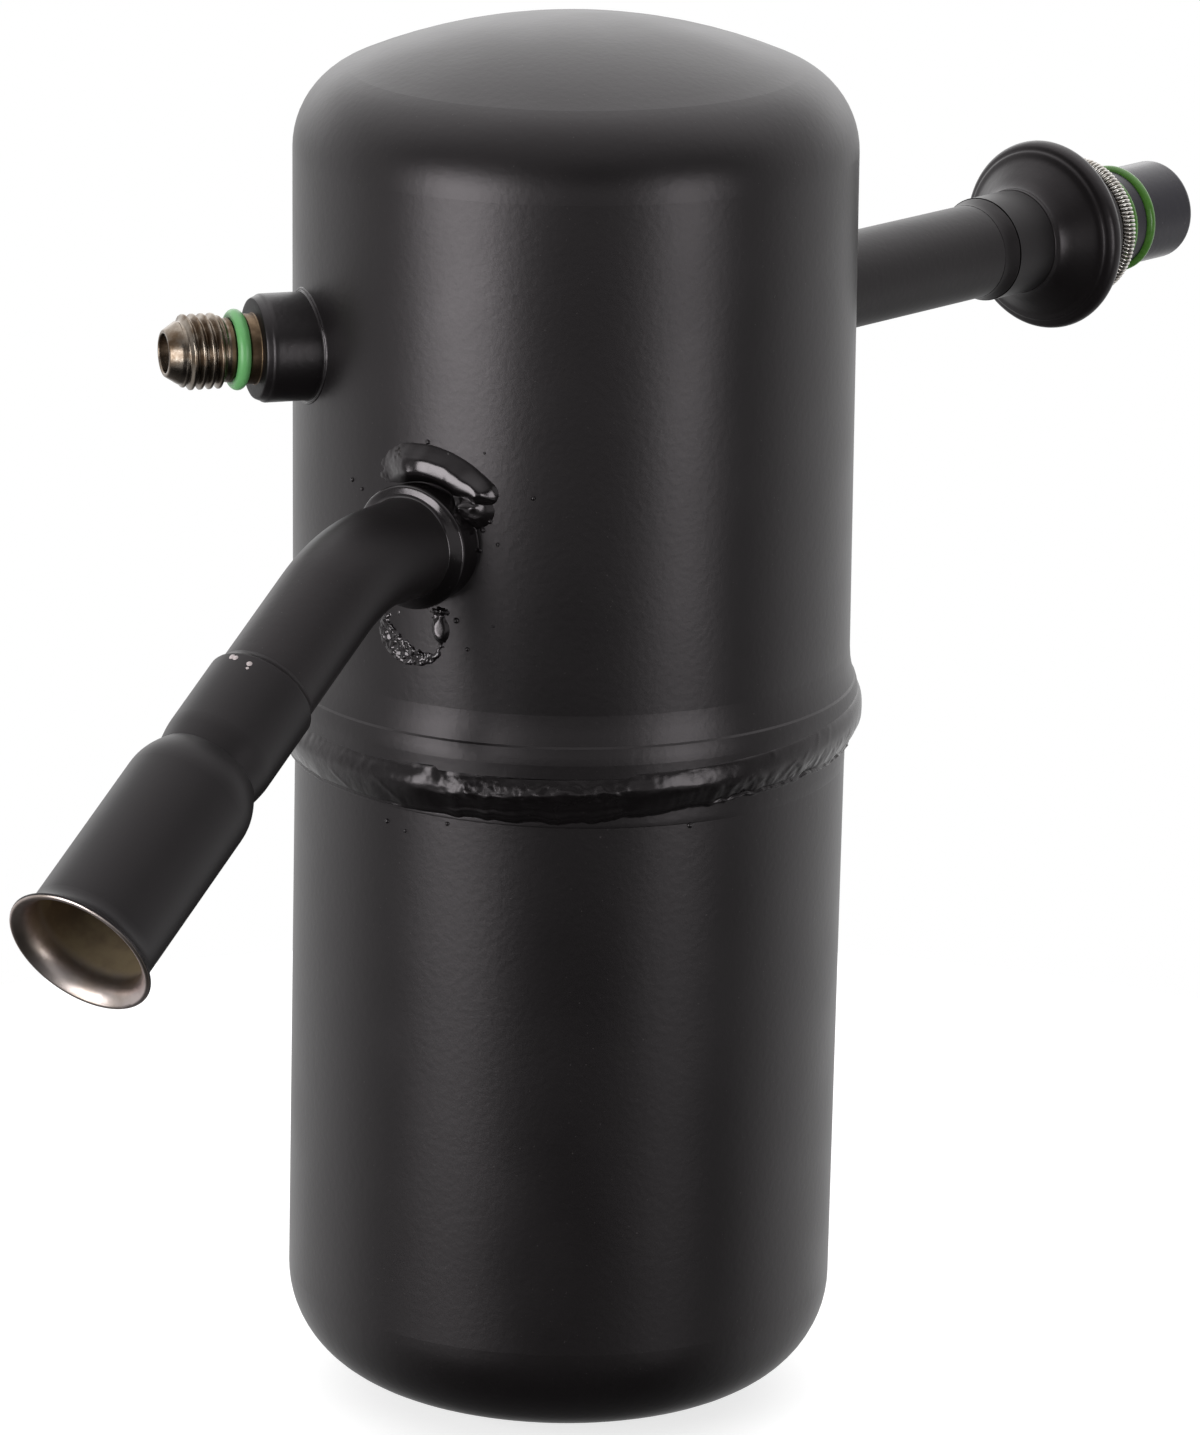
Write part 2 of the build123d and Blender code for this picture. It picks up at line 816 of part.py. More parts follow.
def valve_spring():
    """Coil between the chamber's floor and the pin's flange."""
    coil_radius = (valve_spring_diameter - valve_wire) / 2
    ends = valve_wire / 2 + valve_spring_gap
    height = flange_bottom - chamber_floor - 2 * ends
    helix = Helix(height / valve_turns, height, coil_radius)
    start = Plane(origin=helix @ 0, z_dir=helix % 0)
    coil = sweep(start * Circle(valve_wire / 2), path=helix, is_frenet=True)
    return radial(port_angle, port_height) * Pos(chamber_floor + ends, 0, 0) * Rot(0, 90, 0) * coil


def tube_clip():
    """Stamped plate that holds the two legs of the U tube apart."""
    margin = hole_radius + clip_margin
    lobes = [Pos(x, 0, 0) * Circle(margin) for x in (outlet_leg_offset, -intake_leg_offset)]
    plate = make_hull(lobes[0].edges() + lobes[1].edges())
    for x in (outlet_leg_offset, -intake_leg_offset):
        plate -= Pos(x, 0, 0) * Circle(hole_radius)
    return Pos(0, 0, clip_height) * extrude(plate, clip_thickness)


def deflector():
    """Umbrella on three ribs over a collar that presses on the intake mouth."""
    rim_radius = deflector_diameter / 2
    drop = deflector_crown_radius - math.sqrt(deflector_crown_radius**2 - rim_radius**2)
    top = intake_mouth_height + deflector_gap + deflector_thickness + drop / 2
    half = rim_radius / 2
    inner_crown = deflector_crown_radius - deflector_thickness
    inner_rim = rim_radius - deflector_thickness

    def outer_height(distance):
        return top - deflector_crown_radius + math.sqrt(deflector_crown_radius**2 - distance**2)

    def inner_height(distance):
        return top - deflector_crown_radius + math.sqrt(inner_crown**2 - distance**2)

    skirt = outer_height(rim_radius) - deflector_rim
    edges = [
        arc((0, top), (half, outer_height(half)), (rim_radius, outer_height(rim_radius))),
        flat(
            [
                (rim_radius, outer_height(rim_radius)),
                (rim_radius, skirt),
                (inner_rim, skirt),
                (inner_rim, inner_height(inner_rim)),
            ],
            closed=False,
        ),
        arc((inner_rim, inner_height(inner_rim)), (half, inner_height(half)), (0, top - deflector_thickness)),
        flat([(0, top - deflector_thickness), (0, top)], closed=False),
    ]
    umbrella = spun_z(edges)
    collar_radius = socket_radius + collar_wall
    collar_bottom = intake_mouth_height - collar_length
    collar = Pos(-intake_leg_offset, 0, intake_mouth_height - collar_length / 2) * (
        Cylinder(collar_radius, collar_length) - Cylinder(socket_radius, collar_length)
    )
    rib_height = top - deflector_thickness / 2 - collar_bottom
    under = Pos(0, 0, top - deflector_crown_radius) * Sphere(inner_crown + deflector_thickness / 2)
    ribs = []
    for number in range(rib_count):
        turn = 60 + number * 360 / rib_count
        rib = Pos(socket_radius + collar_wall / 2, 0, rib_height / 2) * Box(collar_wall, rib_width, rib_height)
        ribs.append(Pos(-intake_leg_offset, 0, collar_bottom) * Rot(0, 0, turn) * rib & under)
    return umbrella + collar + ribs


def oil_filter():
    """Plastic body that grips the bottom of the U tube over the oil hole."""
    _, bend_height = outlet_path()
    middle = (outlet_leg_offset - intake_leg_offset) / 2
    radius = filter_diameter / 2
    floor = can_wall + filter_floor_gap + screen_thickness
    height = bend_height + filter_grip - floor
    body = Pos(middle, 0, floor + height / 2) * Cylinder(radius, height)
    cavity = Pos(middle, 0, floor + filter_cavity_height / 2) * Cylinder(
        radius - filter_wall, filter_cavity_height
    )
    duct_height = bend_height - tube_radius - floor
    duct = Pos(middle, 0, floor + duct_height / 2) * Cylinder(oil_hole_diameter, duct_height + tube_wall)
    mouth_height = filter_grip + tube_radius
    mouth_width = 2 * math.sqrt(socket_radius**2 - filter_grip**2)
    mouth = Pos(middle, 0, bend_height + mouth_height / 2) * Box(filter_diameter, mouth_width, mouth_height)
    return body - cavity - duct - outlet_solid(socket_radius) - mouth


def filter_screen():
    """Disc of fine holes under the filter's body."""
    middle = (outlet_leg_offset - intake_leg_offset) / 2
    base = can_wall + filter_floor_gap
    disc = Circle(filter_diameter / 2)
    for ring in range(1, screen_rings + 1):
        disc -= PolarLocations(ring * screen_hole_pitch, 6 * ring) * Circle(screen_hole_diameter / 2)
    disc -= Circle(screen_hole_diameter / 2)
    return Pos(middle, 0, base) * extrude(disc, screen_thickness)


bag_radius = bag_diameter / 2
bag_x = (outlet_leg_offset - intake_leg_offset) / 2
bag_y = filter_diameter / 2 + bag_gap + bag_radius


def bag_floor():
    """Lowest place for the bag, where its rounded end clears the can's floor all over."""
    centre = math.hypot(bag_x, bag_y)
    lifts = []
    for step in range(21):
        offset = bag_radius * step / 20
        into_round = max(offset - (bag_radius - bag_end_radius), 0)
        rise = bag_end_radius - math.sqrt(bag_end_radius**2 - into_round**2)
        lifts.append(floor_height(centre + offset) - rise)
    return max(lifts) + filter_floor_gap


bag_bottom = bag_floor()


def desiccant_bag():
    """Stitched felt bag of drying beads, standing beside the U tube."""
    body = Pos(bag_x, bag_y, bag_bottom + bag_length / 2) * Cylinder(bag_radius, bag_length)
    return fillet(body.edges().filter_by(GeomType.CIRCLE), bag_end_radius)


def bag_tie():
    """Strap drawn round the bag and both legs of the U tube."""
    centres = [(outlet_leg_offset, 0, tube_radius), (-intake_leg_offset, 0, tube_radius), (bag_x, bag_y, bag_radius)]
    outlines = []
    for grow in (tie_clearance, tie_clearance + tie_thickness):
        circles = [Pos(x, y, 0) * Circle(radius + grow) for x, y, radius in centres]
        outlines.append(make_hull([edge for circle in circles for edge in circle.edges()]))
    return Pos(0, 0, tie_height) * extrude(outlines[1] - outlines[0], tie_width)


pieces = {
    "lower_shell": lower_shell(),
    "upper_shell": upper_shell(),
    "seam_weld": seam_weld(),
    "inlet_tube": inlet_tube(),
    "inlet_weld": root_weld(
        inlet_angle, inlet_height, tube_radius, tube_radius, inlet_weld_leg, inlet_weld_reach
    ),
    "inlet_coupling": inlet_coupling(),
    "inlet_braze": inlet_braze(),
    "outlet_pipe": outlet_pipe(),
    "outlet_weld": root_weld(0, outlet_height, tube_radius, tube_radius, outlet_weld_leg, outlet_weld_reach),
    "outlet_coupling": outlet_coupling(),
    "outlet_braze": outlet_braze(),
    "front_o_ring": seal_ring(front_groove_from_tip),
    "rear_o_ring": seal_ring(rear_groove_from_tip),
    "spring_cage": spring_cage(),
    "garter_spring": garter_spring(),
    "switch_port": switch_port(),
    "port_weld": port_weld(),
    "port_o_ring": port_seal(),
    "valve_core": valve_core(),
    "valve_gasket": valve_gasket(),
    "valve_pin": valve_pin(),
    "valve_seat": valve_seat(),
    "valve_spring": valve_spring(),
    "tube_clip": tube_clip(),
    "deflector": deflector(),
    "oil_filter": oil_filter(),
    "filter_screen": filter_screen(),
    "desiccant_bag": desiccant_bag(),
    "bag_tie": bag_tie(),
}

os.makedirs("parts", exist_ok=True)
for name, piece in pieces.items():
    export_step(piece, f"parts/{name}.step")
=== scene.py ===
"""The looks of a suction line accumulator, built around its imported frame."""
import json
import math

import bmesh
import bpy
import numpy as np
from mathutils import Matrix, Vector, noise


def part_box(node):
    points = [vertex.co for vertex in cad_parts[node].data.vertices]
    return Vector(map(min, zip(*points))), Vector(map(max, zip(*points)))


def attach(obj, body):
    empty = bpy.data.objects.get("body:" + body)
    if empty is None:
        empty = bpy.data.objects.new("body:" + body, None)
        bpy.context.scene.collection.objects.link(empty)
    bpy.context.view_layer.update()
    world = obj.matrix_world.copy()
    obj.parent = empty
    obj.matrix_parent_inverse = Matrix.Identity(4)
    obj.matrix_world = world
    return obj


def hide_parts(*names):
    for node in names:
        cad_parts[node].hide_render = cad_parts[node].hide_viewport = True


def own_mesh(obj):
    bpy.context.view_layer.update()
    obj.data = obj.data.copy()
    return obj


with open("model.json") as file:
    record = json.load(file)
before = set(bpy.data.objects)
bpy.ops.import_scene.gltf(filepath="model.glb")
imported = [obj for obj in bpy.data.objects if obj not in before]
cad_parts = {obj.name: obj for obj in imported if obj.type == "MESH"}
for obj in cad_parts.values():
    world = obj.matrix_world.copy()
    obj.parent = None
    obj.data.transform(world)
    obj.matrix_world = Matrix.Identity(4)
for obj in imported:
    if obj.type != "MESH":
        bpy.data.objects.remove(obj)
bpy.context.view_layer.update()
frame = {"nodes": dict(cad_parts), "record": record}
scene = bpy.context.scene
scene.view_settings.view_transform = "Standard"
BODY = "accumulator"


# Camera. It stands at the photograph's place, worked out in a frame turned by VIEW_TURN.

VIEW_TURN = math.radians(-48.8)
TURN = Matrix.Rotation(VIEW_TURN, 3, "Z")
CAMERA_DISTANCE, CAMERA_HEIGHT = 1.16924, 0.44561
CAMERA_PITCH, CAMERA_YAW, CAMERA_ROLL = 0.2777, 0.0041, 0.0231
CAMERA_LENS, SENSOR_WIDTH = 188.55, 36


def turned(x, y, z):
    """A point or direction of the camera's own frame (camera on -y) in the part's frame."""
    return TURN @ Vector((x, y, z))


def make_camera():
    pitch, yaw, roll = CAMERA_PITCH, CAMERA_YAW, CAMERA_ROLL
    level = math.cos(pitch)
    forward = Vector((math.sin(yaw) * level, math.cos(yaw) * level, -math.sin(pitch)))
    right = Vector((math.cos(yaw), -math.sin(yaw), 0))
    up = right.cross(forward)
    side = right * math.cos(roll) + up * math.sin(roll)
    top = up * math.cos(roll) - right * math.sin(roll)
    data = bpy.data.cameras.new("camera")
    data.lens = CAMERA_LENS
    data.sensor_width = SENSOR_WIDTH
    camera = bpy.data.objects.new("camera", data)
    rotation = Matrix((TURN @ side, TURN @ top, TURN @ -forward)).transposed()
    place = turned(0, -CAMERA_DISTANCE, CAMERA_HEIGHT)
    camera.matrix_world = Matrix.Translation(place) @ rotation.to_4x4()
    scene.collection.objects.link(camera)
    scene.camera = camera


# Sizes in millimetres, as in the part's source, and the frames of its three stems.
# In a stem's frame X runs out from the can's axis, through the stem, and Z is up.

MM = 0.001
CAN_RADIUS, SHOULDER_RADIUS = 44.45, 44.9
LEAN_PIVOT, LEAN_ANGLE, LEAN_DIRECTION = 117.75, 0.7, 131.2
TUBE_RADIUS, TUBE_WALL = 7.9375, 1.25
INLET_ANGLE, INLET_HEIGHT = 190.0, 151.2
OUTLET_HEIGHT = 174.2
PORT_ANGLE, PORT_HEIGHT = 150.0, 176.3
BEND_START, BEND_RADIUS, BEND_ANGLE = 58.2, 29.0, math.radians(31.0)
BEND_LENGTH = BEND_RADIUS * BEND_ANGLE
RUN_LENGTH = 32.9
INLET_SLEEVE_RADIUS, OUTLET_SLEEVE_RADIUS = 8.84, 8.74


def turn(angle, axis="Z"):
    """A turn by degrees about an axis, as a 4 x 4 matrix."""
    return np.array(Matrix.Rotation(math.radians(angle), 4, axis))


def move(x, y, z):
    """A shift, as a 4 x 4 matrix."""
    return np.array(Matrix.Translation((x, y, z)))


def apply(matrix, points):
    """Points, however they are stacked, carried by a 4 x 4 matrix."""
    return points @ matrix[:3, :3].T + matrix[:3, 3]


def tube_point(length):
    """Centre, forward and upward direction of the inlet tube, at a length from where its bend starts."""
    angle = min(max(length / BEND_RADIUS, 0), BEND_ANGLE)
    centre = np.array([BEND_START + BEND_RADIUS * math.sin(angle), 0, -BEND_RADIUS * (1 - math.cos(angle))])
    forward = np.array([math.cos(angle), 0, -math.sin(angle)])
    upward = np.array([math.sin(angle), 0, math.cos(angle)])
    centre = centre + forward * (min(length, 0) + max(length - BEND_LENGTH, 0))
    return centre, forward, upward


def run_frame():
    """The frame of the inlet tube's straight run after the bend: X along it, Z up."""
    centre, forward, upward = tube_point(BEND_LENGTH)
    matrix = np.eye(4)
    matrix[:3, 0] = forward
    matrix[:3, 2] = upward
    matrix[:3, 3] = centre
    return INLET @ matrix


LEAN = (
    move(0, 0, LEAN_PIVOT) @ turn(LEAN_DIRECTION) @ turn(LEAN_ANGLE, "Y")
    @ turn(-LEAN_DIRECTION) @ move(0, 0, -LEAN_PIVOT)
)
INLET = move(0, 0, INLET_HEIGHT) @ turn(INLET_ANGLE)
OUTLET = move(0, 0, OUTLET_HEIGHT)
PORT = move(0, 0, PORT_HEIGHT) @ turn(PORT_ANGLE)
RUN = run_frame()


# Materials


class Graph:
    """Short calls for building a node tree."""

    def __init__(self, tree):
        self.tree = tree

    def add(self, kind, **settings):
        node = self.tree.nodes.new("ShaderNode" + kind)
        for key, value in settings.items():
            setattr(node, key, value)
        return node

    def link(self, source, target):
        self.tree.links.new(source, target)

    def put(self, socket, value):
        if isinstance(value, bpy.types.NodeSocket):
            self.link(value, socket)
        else:
            socket.default_value = value

    def place(self):
        return self.add("TexCoord").outputs["Object"]

    def noise(self, scale, detail=3.0, roughness=0.5):
        node = self.add("TexNoise")
        node.inputs["Scale"].default_value = scale
        node.inputs["Detail"].default_value = detail
        node.inputs["Roughness"].default_value = roughness
        self.link(self.place(), node.inputs["Vector"])
        return node.outputs["Fac"]

    def ramp(self, value, low, high, to_low=0.0, to_high=1.0, kind="SMOOTHSTEP"):
        node = self.add("MapRange", interpolation_type=kind)
        self.link(value, node.inputs["Value"])
        node.inputs["From Min"].default_value = low
        node.inputs["From Max"].default_value = high
        node.inputs["To Min"].default_value = to_low
        node.inputs["To Max"].default_value = to_high
        return node.outputs["Result"]

    def math(self, operation, a, b):
        node = self.add("Math", operation=operation)
        self.put(node.inputs[0], a)
        self.put(node.inputs[1], b)
        return node.outputs[0]

    def vector(self, operation, a, b=None):
        node = self.add("VectorMath", operation=operation)
        self.put(node.inputs[0], a)
        if b is not None:
            self.put(node.inputs[1], b)
        return node.outputs["Value" if operation == "DOT_PRODUCT" else "Vector"]

    def mix(self, factor, a, b):
        node = self.add("Mix", data_type="RGBA")
        self.put(node.inputs[0], factor)
        self.put(node.inputs[6], (*a, 1) if isinstance(a, tuple) else a)
        self.put(node.inputs[7], (*b, 1) if isinstance(b, tuple) else b)
        return node.outputs[2]

    def bump(self, height, strength, distance):
        node = self.add("Bump")
        node.inputs["Strength"].default_value = strength
        node.inputs["Distance"].default_value = distance
        self.link(height, node.inputs["Height"])
        return node.outputs["Normal"]


class Surface(Graph):
    """The node tree of a new material."""

    def __init__(self, name):
        self.material = bpy.data.materials.new(name)
        self.material.use_nodes = True
        super().__init__(self.material.node_tree)
        self.shader = self.tree.nodes["Principled BSDF"]

    def finish(self, colour, roughness, normal, metallic=0.0, **sockets):
        self.put(self.shader.inputs["Base Color"], colour)
        self.put(self.shader.inputs["Roughness"], roughness)
        self.put(self.shader.inputs["Normal"], normal)
        self.put(self.shader.inputs["Metallic"], metallic)
        for key, value in sockets.items():
            self.shader.inputs[key.replace("_", " ")].default_value = value
        return self.material


PAINT_DARK, PAINT_LIGHT = (0.0042, 0.0035, 0.0037), (0.0062, 0.0052, 0.0055)
PAINT_TINT = (1, 0.93, 0.965, 1)
# Where the painted nose starts, in metres along the part's X
NOSE_START, NOSE_FULL = 0.1330, 0.1336
# Where the bell's bare inside starts and where its lip starts, in metres along the inlet's run
BARE_START, BARE_FULL = 0.0440, 0.0446
LIP_START, LIP_FULL = 0.0695, 0.0725


def paint(name, gloss=0.0, rough_surface=0.0, shine=0.5, body=1.0):
    """Satin black paint: orange peel, faint mottling and a few dust specks. gloss lowers the roughness,
    rough_surface deepens the peel, shine is the specular level and body lightens the coat."""
    n = Surface(name)
    peel = n.noise(900, 2.0)
    mottle = n.noise(55, 4.0)
    specks = n.ramp(n.noise(2600, 1.0), 0.76, 0.8)
    dark, light = [tuple(body * part for part in tone) for tone in (PAINT_DARK, PAINT_LIGHT)]
    colour = n.mix(specks, n.mix(mottle, dark, light), (0.04, 0.036, 0.036))
    roughness = n.ramp(mottle, 0.3, 0.7, 0.35 - gloss, 0.385 - gloss)
    normal = n.bump(peel, 0.22 + rough_surface, 0.00012)
    return n.finish(colour, roughness, normal, Specular_IOR_Level=shine, Specular_Tint=PAINT_TINT)


def metal(name, light, dark, roughness, scale=400):
    """Bare metal with faint stains and a fine tooled or drawn surface."""
    n = Surface(name)
    stain = n.ramp(n.noise(scale, 4.0, 0.6), 0.35, 0.7)
    fine = n.noise(scale * 8, 2.0)
    rough = n.ramp(stain, 0.0, 1.0, roughness, roughness + 0.12)
    return n.finish(n.mix(stain, light, dark), rough, n.bump(fine, 0.15, 0.00006), metallic=1.0)


def plain(name, light, dark, roughness, tone_scale, grain_scale, grain_depth):
    """A dull surface in two close tones with a fine grain."""
    n = Surface(name)
    tone = n.noise(tone_scale)
    grain = n.noise(grain_scale, 2.0)
    rough = n.ramp(tone, 0.3, 0.7, roughness, roughness + 0.1)
    return n.finish(n.mix(tone, dark, light), rough, n.bump(grain, 0.12, grain_depth))


def rubber(name, light, dark, roughness=0.35):
    return plain(name, light, dark, roughness, 700, 3000, 0.00005)


def plastic(name, light, dark, roughness=0.45):
    return plain(name, light, dark, roughness, 120, 2200, 0.00008)


def nose_paint():
    """Black paint that turns to a smooth bluish coat on the coupling's nose."""
    n = Surface("coupling_paint")
    along = n.add("SeparateXYZ")
    n.link(n.place(), along.inputs[0])
    nose = n.ramp(along.outputs["X"], NOSE_START, NOSE_FULL)
    mottle = n.noise(70, 4.0)
    scuffs = n.ramp(n.noise(1100, 2.0), 0.7, 0.76)
    coat = n.mix(scuffs, (0.0055, 0.0055, 0.0125), (0.04, 0.036, 0.045))
    colour = n.mix(nose, n.mix(mottle, PAINT_DARK, PAINT_LIGHT), coat)
    roughness = n.math("SUBTRACT", n.ramp(mottle, 0.3, 0.7, 0.37, 0.41), n.math("MULTIPLY", nose, 0.14))
    normal = n.bump(n.noise(900, 2.0), 0.2, 0.0001)
    return n.finish(colour, roughness, normal, Specular_IOR_Level=0.38, Specular_Tint=PAINT_TINT)


def bell_metal(start, direction):
    """Black paint outside, bare metal inside the bell and round its lip.
    Inside the bell the bare metal is darker and browner than at the lip, which is painted shade.
    The inner side is where the surface faces the bell's axis or its open end."""
    n = Surface("bell_metal")
    offset = n.vector("SUBTRACT", n.place(), start)
    facing = n.add("TexCoord").outputs["Normal"]
    along = n.vector("DOT_PRODUCT", offset, direction)
    forward = n.vector("DOT_PRODUCT", facing, direction)
    radial = n.vector("CROSS_PRODUCT", direction, n.vector("CROSS_PRODUCT", offset, direction))
    outward = n.vector("DOT_PRODUCT", facing, n.vector("NORMALIZE", radial))
    inside = n.ramp(n.math("SUBTRACT", forward, outward), -0.35, -0.15)
    bare = n.math("MULTIPLY", inside, n.ramp(along, BARE_START, BARE_FULL))
    mouth = n.ramp(along, LIP_START, LIP_FULL)
    tone = n.noise(120, 4.0, 0.6)
    fine = n.noise(1500, 2.0)
    # Painted shade: the bell's inside takes darker, browner metal than its lip.
    shaded_inside = n.mix(n.ramp(tone, 0.4, 0.62), (0.23, 0.175, 0.12), (0.34, 0.27, 0.17))
    lip = n.mix(n.ramp(tone, 0.4, 0.65), (0.5, 0.44, 0.42), (0.38, 0.32, 0.28))
    colour = n.mix(bare, n.mix(tone, PAINT_DARK, PAINT_LIGHT), n.mix(mouth, shaded_inside, lip))
    roughness = n.math("SUBTRACT", n.ramp(tone, 0.3, 0.7, 0.42, 0.45), n.math("MULTIPLY", bare, 0.08))
    metallic = n.math("MULTIPLY", bare, n.ramp(mouth, 0, 1, 0.6, 1.0))
    normal = n.bump(fine, 0.15, 0.00006)
    return n.finish(colour, roughness, normal, metallic, Specular_IOR_Level=0.33, Specular_Tint=PAINT_TINT)


materials = {
    "black_paint": paint("satin_black_paint"),
    "bare_steel": metal("oxidised_steel", (0.50, 0.45, 0.40), (0.24, 0.18, 0.13), 0.28),
    "spring_steel": metal("bright_spring_wire", (0.66, 0.64, 0.61), (0.45, 0.41, 0.37), 0.2, 900),
    "light_green_rubber": rubber("light_green_seal", (0.15, 0.43, 0.15), (0.11, 0.34, 0.11), 0.3),
    "dark_green_rubber": rubber("green_seal", (0.1, 0.27, 0.04), (0.065, 0.2, 0.025), 0.22),
    "brass": metal("turned_brass", (0.62, 0.42, 0.17), (0.42, 0.27, 0.1), 0.25),
    "seal_rubber": rubber("black_seal", (0.02, 0.02, 0.02), (0.012, 0.012, 0.012)),
    "white_plastic": plastic("natural_nylon", (0.66, 0.63, 0.55), (0.58, 0.55, 0.47)),
    "black_plastic": plastic("black_nylon", (0.028, 0.028, 0.03), (0.018, 0.018, 0.02)),
    "fine_mesh": metal("stainless_mesh", (0.5, 0.5, 0.48), (0.3, 0.3, 0.28), 0.35, 1500),
    "felt": plastic("needled_felt", (0.62, 0.58, 0.48), (0.5, 0.46, 0.37), 0.9),
}
paint_surface = materials["black_paint"]
weld_paint = paint("thick_weld_paint", gloss=0.1, rough_surface=-0.06)
pooled_paint = paint("pooled_weld_paint", gloss=0.17, rough_surface=-0.14, shine=0.75)
dim_paint = paint("thin_dull_paint", gloss=0.02, shine=0.45, body=2.4)
tube_paint = paint("tube_paint", gloss=-0.05, shine=0.33, body=1.8)
face_paint = paint("face_paint", gloss=-0.05, shine=0.12)
# Light pinkish colour of the sleeve's small drops: painted highlights.
sleeve_glint_paint = plastic("sleeve_glint_paint", (0.6, 0.52, 0.52), (0.38, 0.33, 0.33), 0.4)
thread_steel = metal("thread_steel", (0.29, 0.25, 0.21), (0.12, 0.08, 0.05), 0.24, 330)
# Darker, browner copy of the steel for the port's neck and the thread's first rows, beside the boss and
# seal: painted shade.
shaded_neck_steel = metal("shaded_neck_steel", (0.2, 0.14, 0.09), (0.1, 0.065, 0.04), 0.4, 330)

slots = {entry["node"]: entry["material_slot"] for entry in frame["record"]["subparts"]}
for name, thing in frame["nodes"].items():
    thing.data.materials.clear()
    thing.data.materials.append(materials[slots[name]])
frame["nodes"]["outlet_coupling"].data.materials[0] = nose_paint()
frame["nodes"]["outlet_pipe"].data.materials[0] = tube_paint
frame["nodes"]["inlet_coupling"].data.materials[0] = bell_metal(RUN[:3, 3] * MM, RUN[:3, 0])


# Shapes, in millimetres until they become a mesh


def rough(points, size, octaves, seed):
    """Smooth noise of about -1 to 1 with features of a size in millimetres."""
    offset = Vector((seed, 1.7 * seed, -seed))
    values = [noise.fractal(Vector(p) / size + offset, 1.0, 2.0, octaves) for p in points.reshape(-1, 3)]
    return np.array(values).reshape(points.shape[:-1])


def curve_through(points, count):
    """Evenly spaced points on a smooth curve through some points."""
    p = np.array(points, float)
    ends = np.vstack([2 * p[0] - p[1], p, 2 * p[-1] - p[-2]])
    t = np.linspace(0, 1, 24, endpoint=False)[:, None]
    fine = []
    for i in range(len(p) - 1):
        a, b, c, d = ends[i : i + 4]
        bow = (2 * a - 5 * b + 4 * c - d) * t**2
        fine.append(0.5 * (2 * b + (c - a) * t + bow + (3 * b - a - 3 * c + d) * t**3))
    fine = np.vstack([*fine, p[-1:]])
    steps = np.r_[0, np.cumsum(np.linalg.norm(np.diff(fine, axis=0), axis=1))]
    where = np.linspace(0, steps[-1], count)
    return np.stack([np.interp(where, steps, fine[:, k]) for k in range(p.shape[1])], 1)


def angles(count):
    """Evenly spaced angles round a full turn."""
    return np.linspace(0, 2 * math.pi, count, endpoint=False)


def window(value, low, high, soft):
    """1 between two values, falling smoothly to 0 outside them."""
    rise = np.clip((value - low) / soft + 0.5, 0, 1)
    fall = np.clip((high - value) / soft + 0.5, 0, 1)
    return (rise * rise * (3 - 2 * rise)) * (fall * fall * (3 - 2 * fall))


def hump(y, z, centre, size, height):
    """A soft hump with its top at a centre."""
    return height * np.exp(-(((y - centre[0]) / size[0]) ** 2) - ((z - centre[1]) / size[1]) ** 2)


def on_shell(matrix, y, z):
    """Distance along a stem's X at which the upper cup's side is met, found in a few steps."""
    back = np.linalg.inv(LEAN) @ matrix
    x = np.full(np.shape(y), SHOULDER_RADIUS)
    for _ in range(6):
        p = apply(back, np.stack([x, y, z], -1))
        x = x + SHOULDER_RADIUS - np.hypot(p[..., 0], p[..., 1])
    return x


def shell_row(matrix, radius, lift, a):
    """A loop round a stem's X at a height over the upper cup's side."""
    y, z = radius * np.cos(a), radius * np.sin(a)
    return np.stack([on_shell(matrix, y, z) + lift, y, z], -1)


def face_outward(mesh, fill_holes=False):
    """Turns every face outwards, after its open ends are closed where that is asked for."""
    bm = bmesh.new()
    bm.from_mesh(mesh)
    if fill_holes:
        bmesh.ops.holes_fill(bm, edges=[e for e in bm.edges if e.is_boundary])
    bmesh.ops.recalc_face_normals(bm, faces=bm.faces)
    bm.to_mesh(mesh)
    bm.free()


def add_piece(name, points, faces, surfaces, surface_of_face, replaced=()):
    """A smooth piece of the accumulator's body from points in millimetres."""
    mesh = bpy.data.meshes.new(name)
    mesh.from_pydata((points * MM).tolist(), [], faces)
    mesh.polygons.foreach_set("use_smooth", [True] * len(faces))
    for surface in surfaces:
        mesh.materials.append(surface)
    mesh.polygons.foreach_set("material_index", surface_of_face)
    mesh.update()
    face_outward(mesh)
    piece = bpy.data.objects.new(name, mesh)
    scene.collection.objects.link(piece)
    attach(piece, BODY)
    if replaced:
        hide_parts(*replaced)
    return piece


def build(name, grid, surfaces, replaced, matrix=None, close_rows=True, surface_of_row=None):
    """A piece from a grid of points: rows that are closed loops.
    close_rows joins the last row to the first, which gives a closed ring or tube."""
    if matrix is not None:
        grid = apply(matrix, grid)
    rows, columns = grid.shape[:2]
    index = np.arange(rows * columns).reshape(rows, columns)
    lower = index if close_rows else index[:-1]
    upper = np.roll(index, -1, axis=0) if close_rows else index[1:]
    quads = np.stack([lower, np.roll(lower, -1, 1), np.roll(upper, -1, 1), upper], -1).reshape(-1, 4)
    surface_of_face = np.repeat(surface_of_row or [0] * len(lower), columns).tolist()
    return add_piece(name, grid.reshape(-1, 3), quads.tolist(), surfaces, surface_of_face, replaced)


def spun(name, outline, surfaces, replaced, matrix, columns, surface_of_row=None, push=None):
    """A turned piece about a frame's X from a closed outline of (station, radius)."""
    a = angles(columns)
    outline = np.array(outline, float)
    station = outline[:, :1] + 0 * a
    radius = outline[:, 1:] + 0 * a
    if push is not None:
        station, radius = push(station, radius, a)
    grid = np.stack([station, radius * np.cos(a), radius * np.sin(a)], -1)
    build(name, grid, surfaces, replaced, matrix, surface_of_row=surface_of_row)


# The weld bead round the can

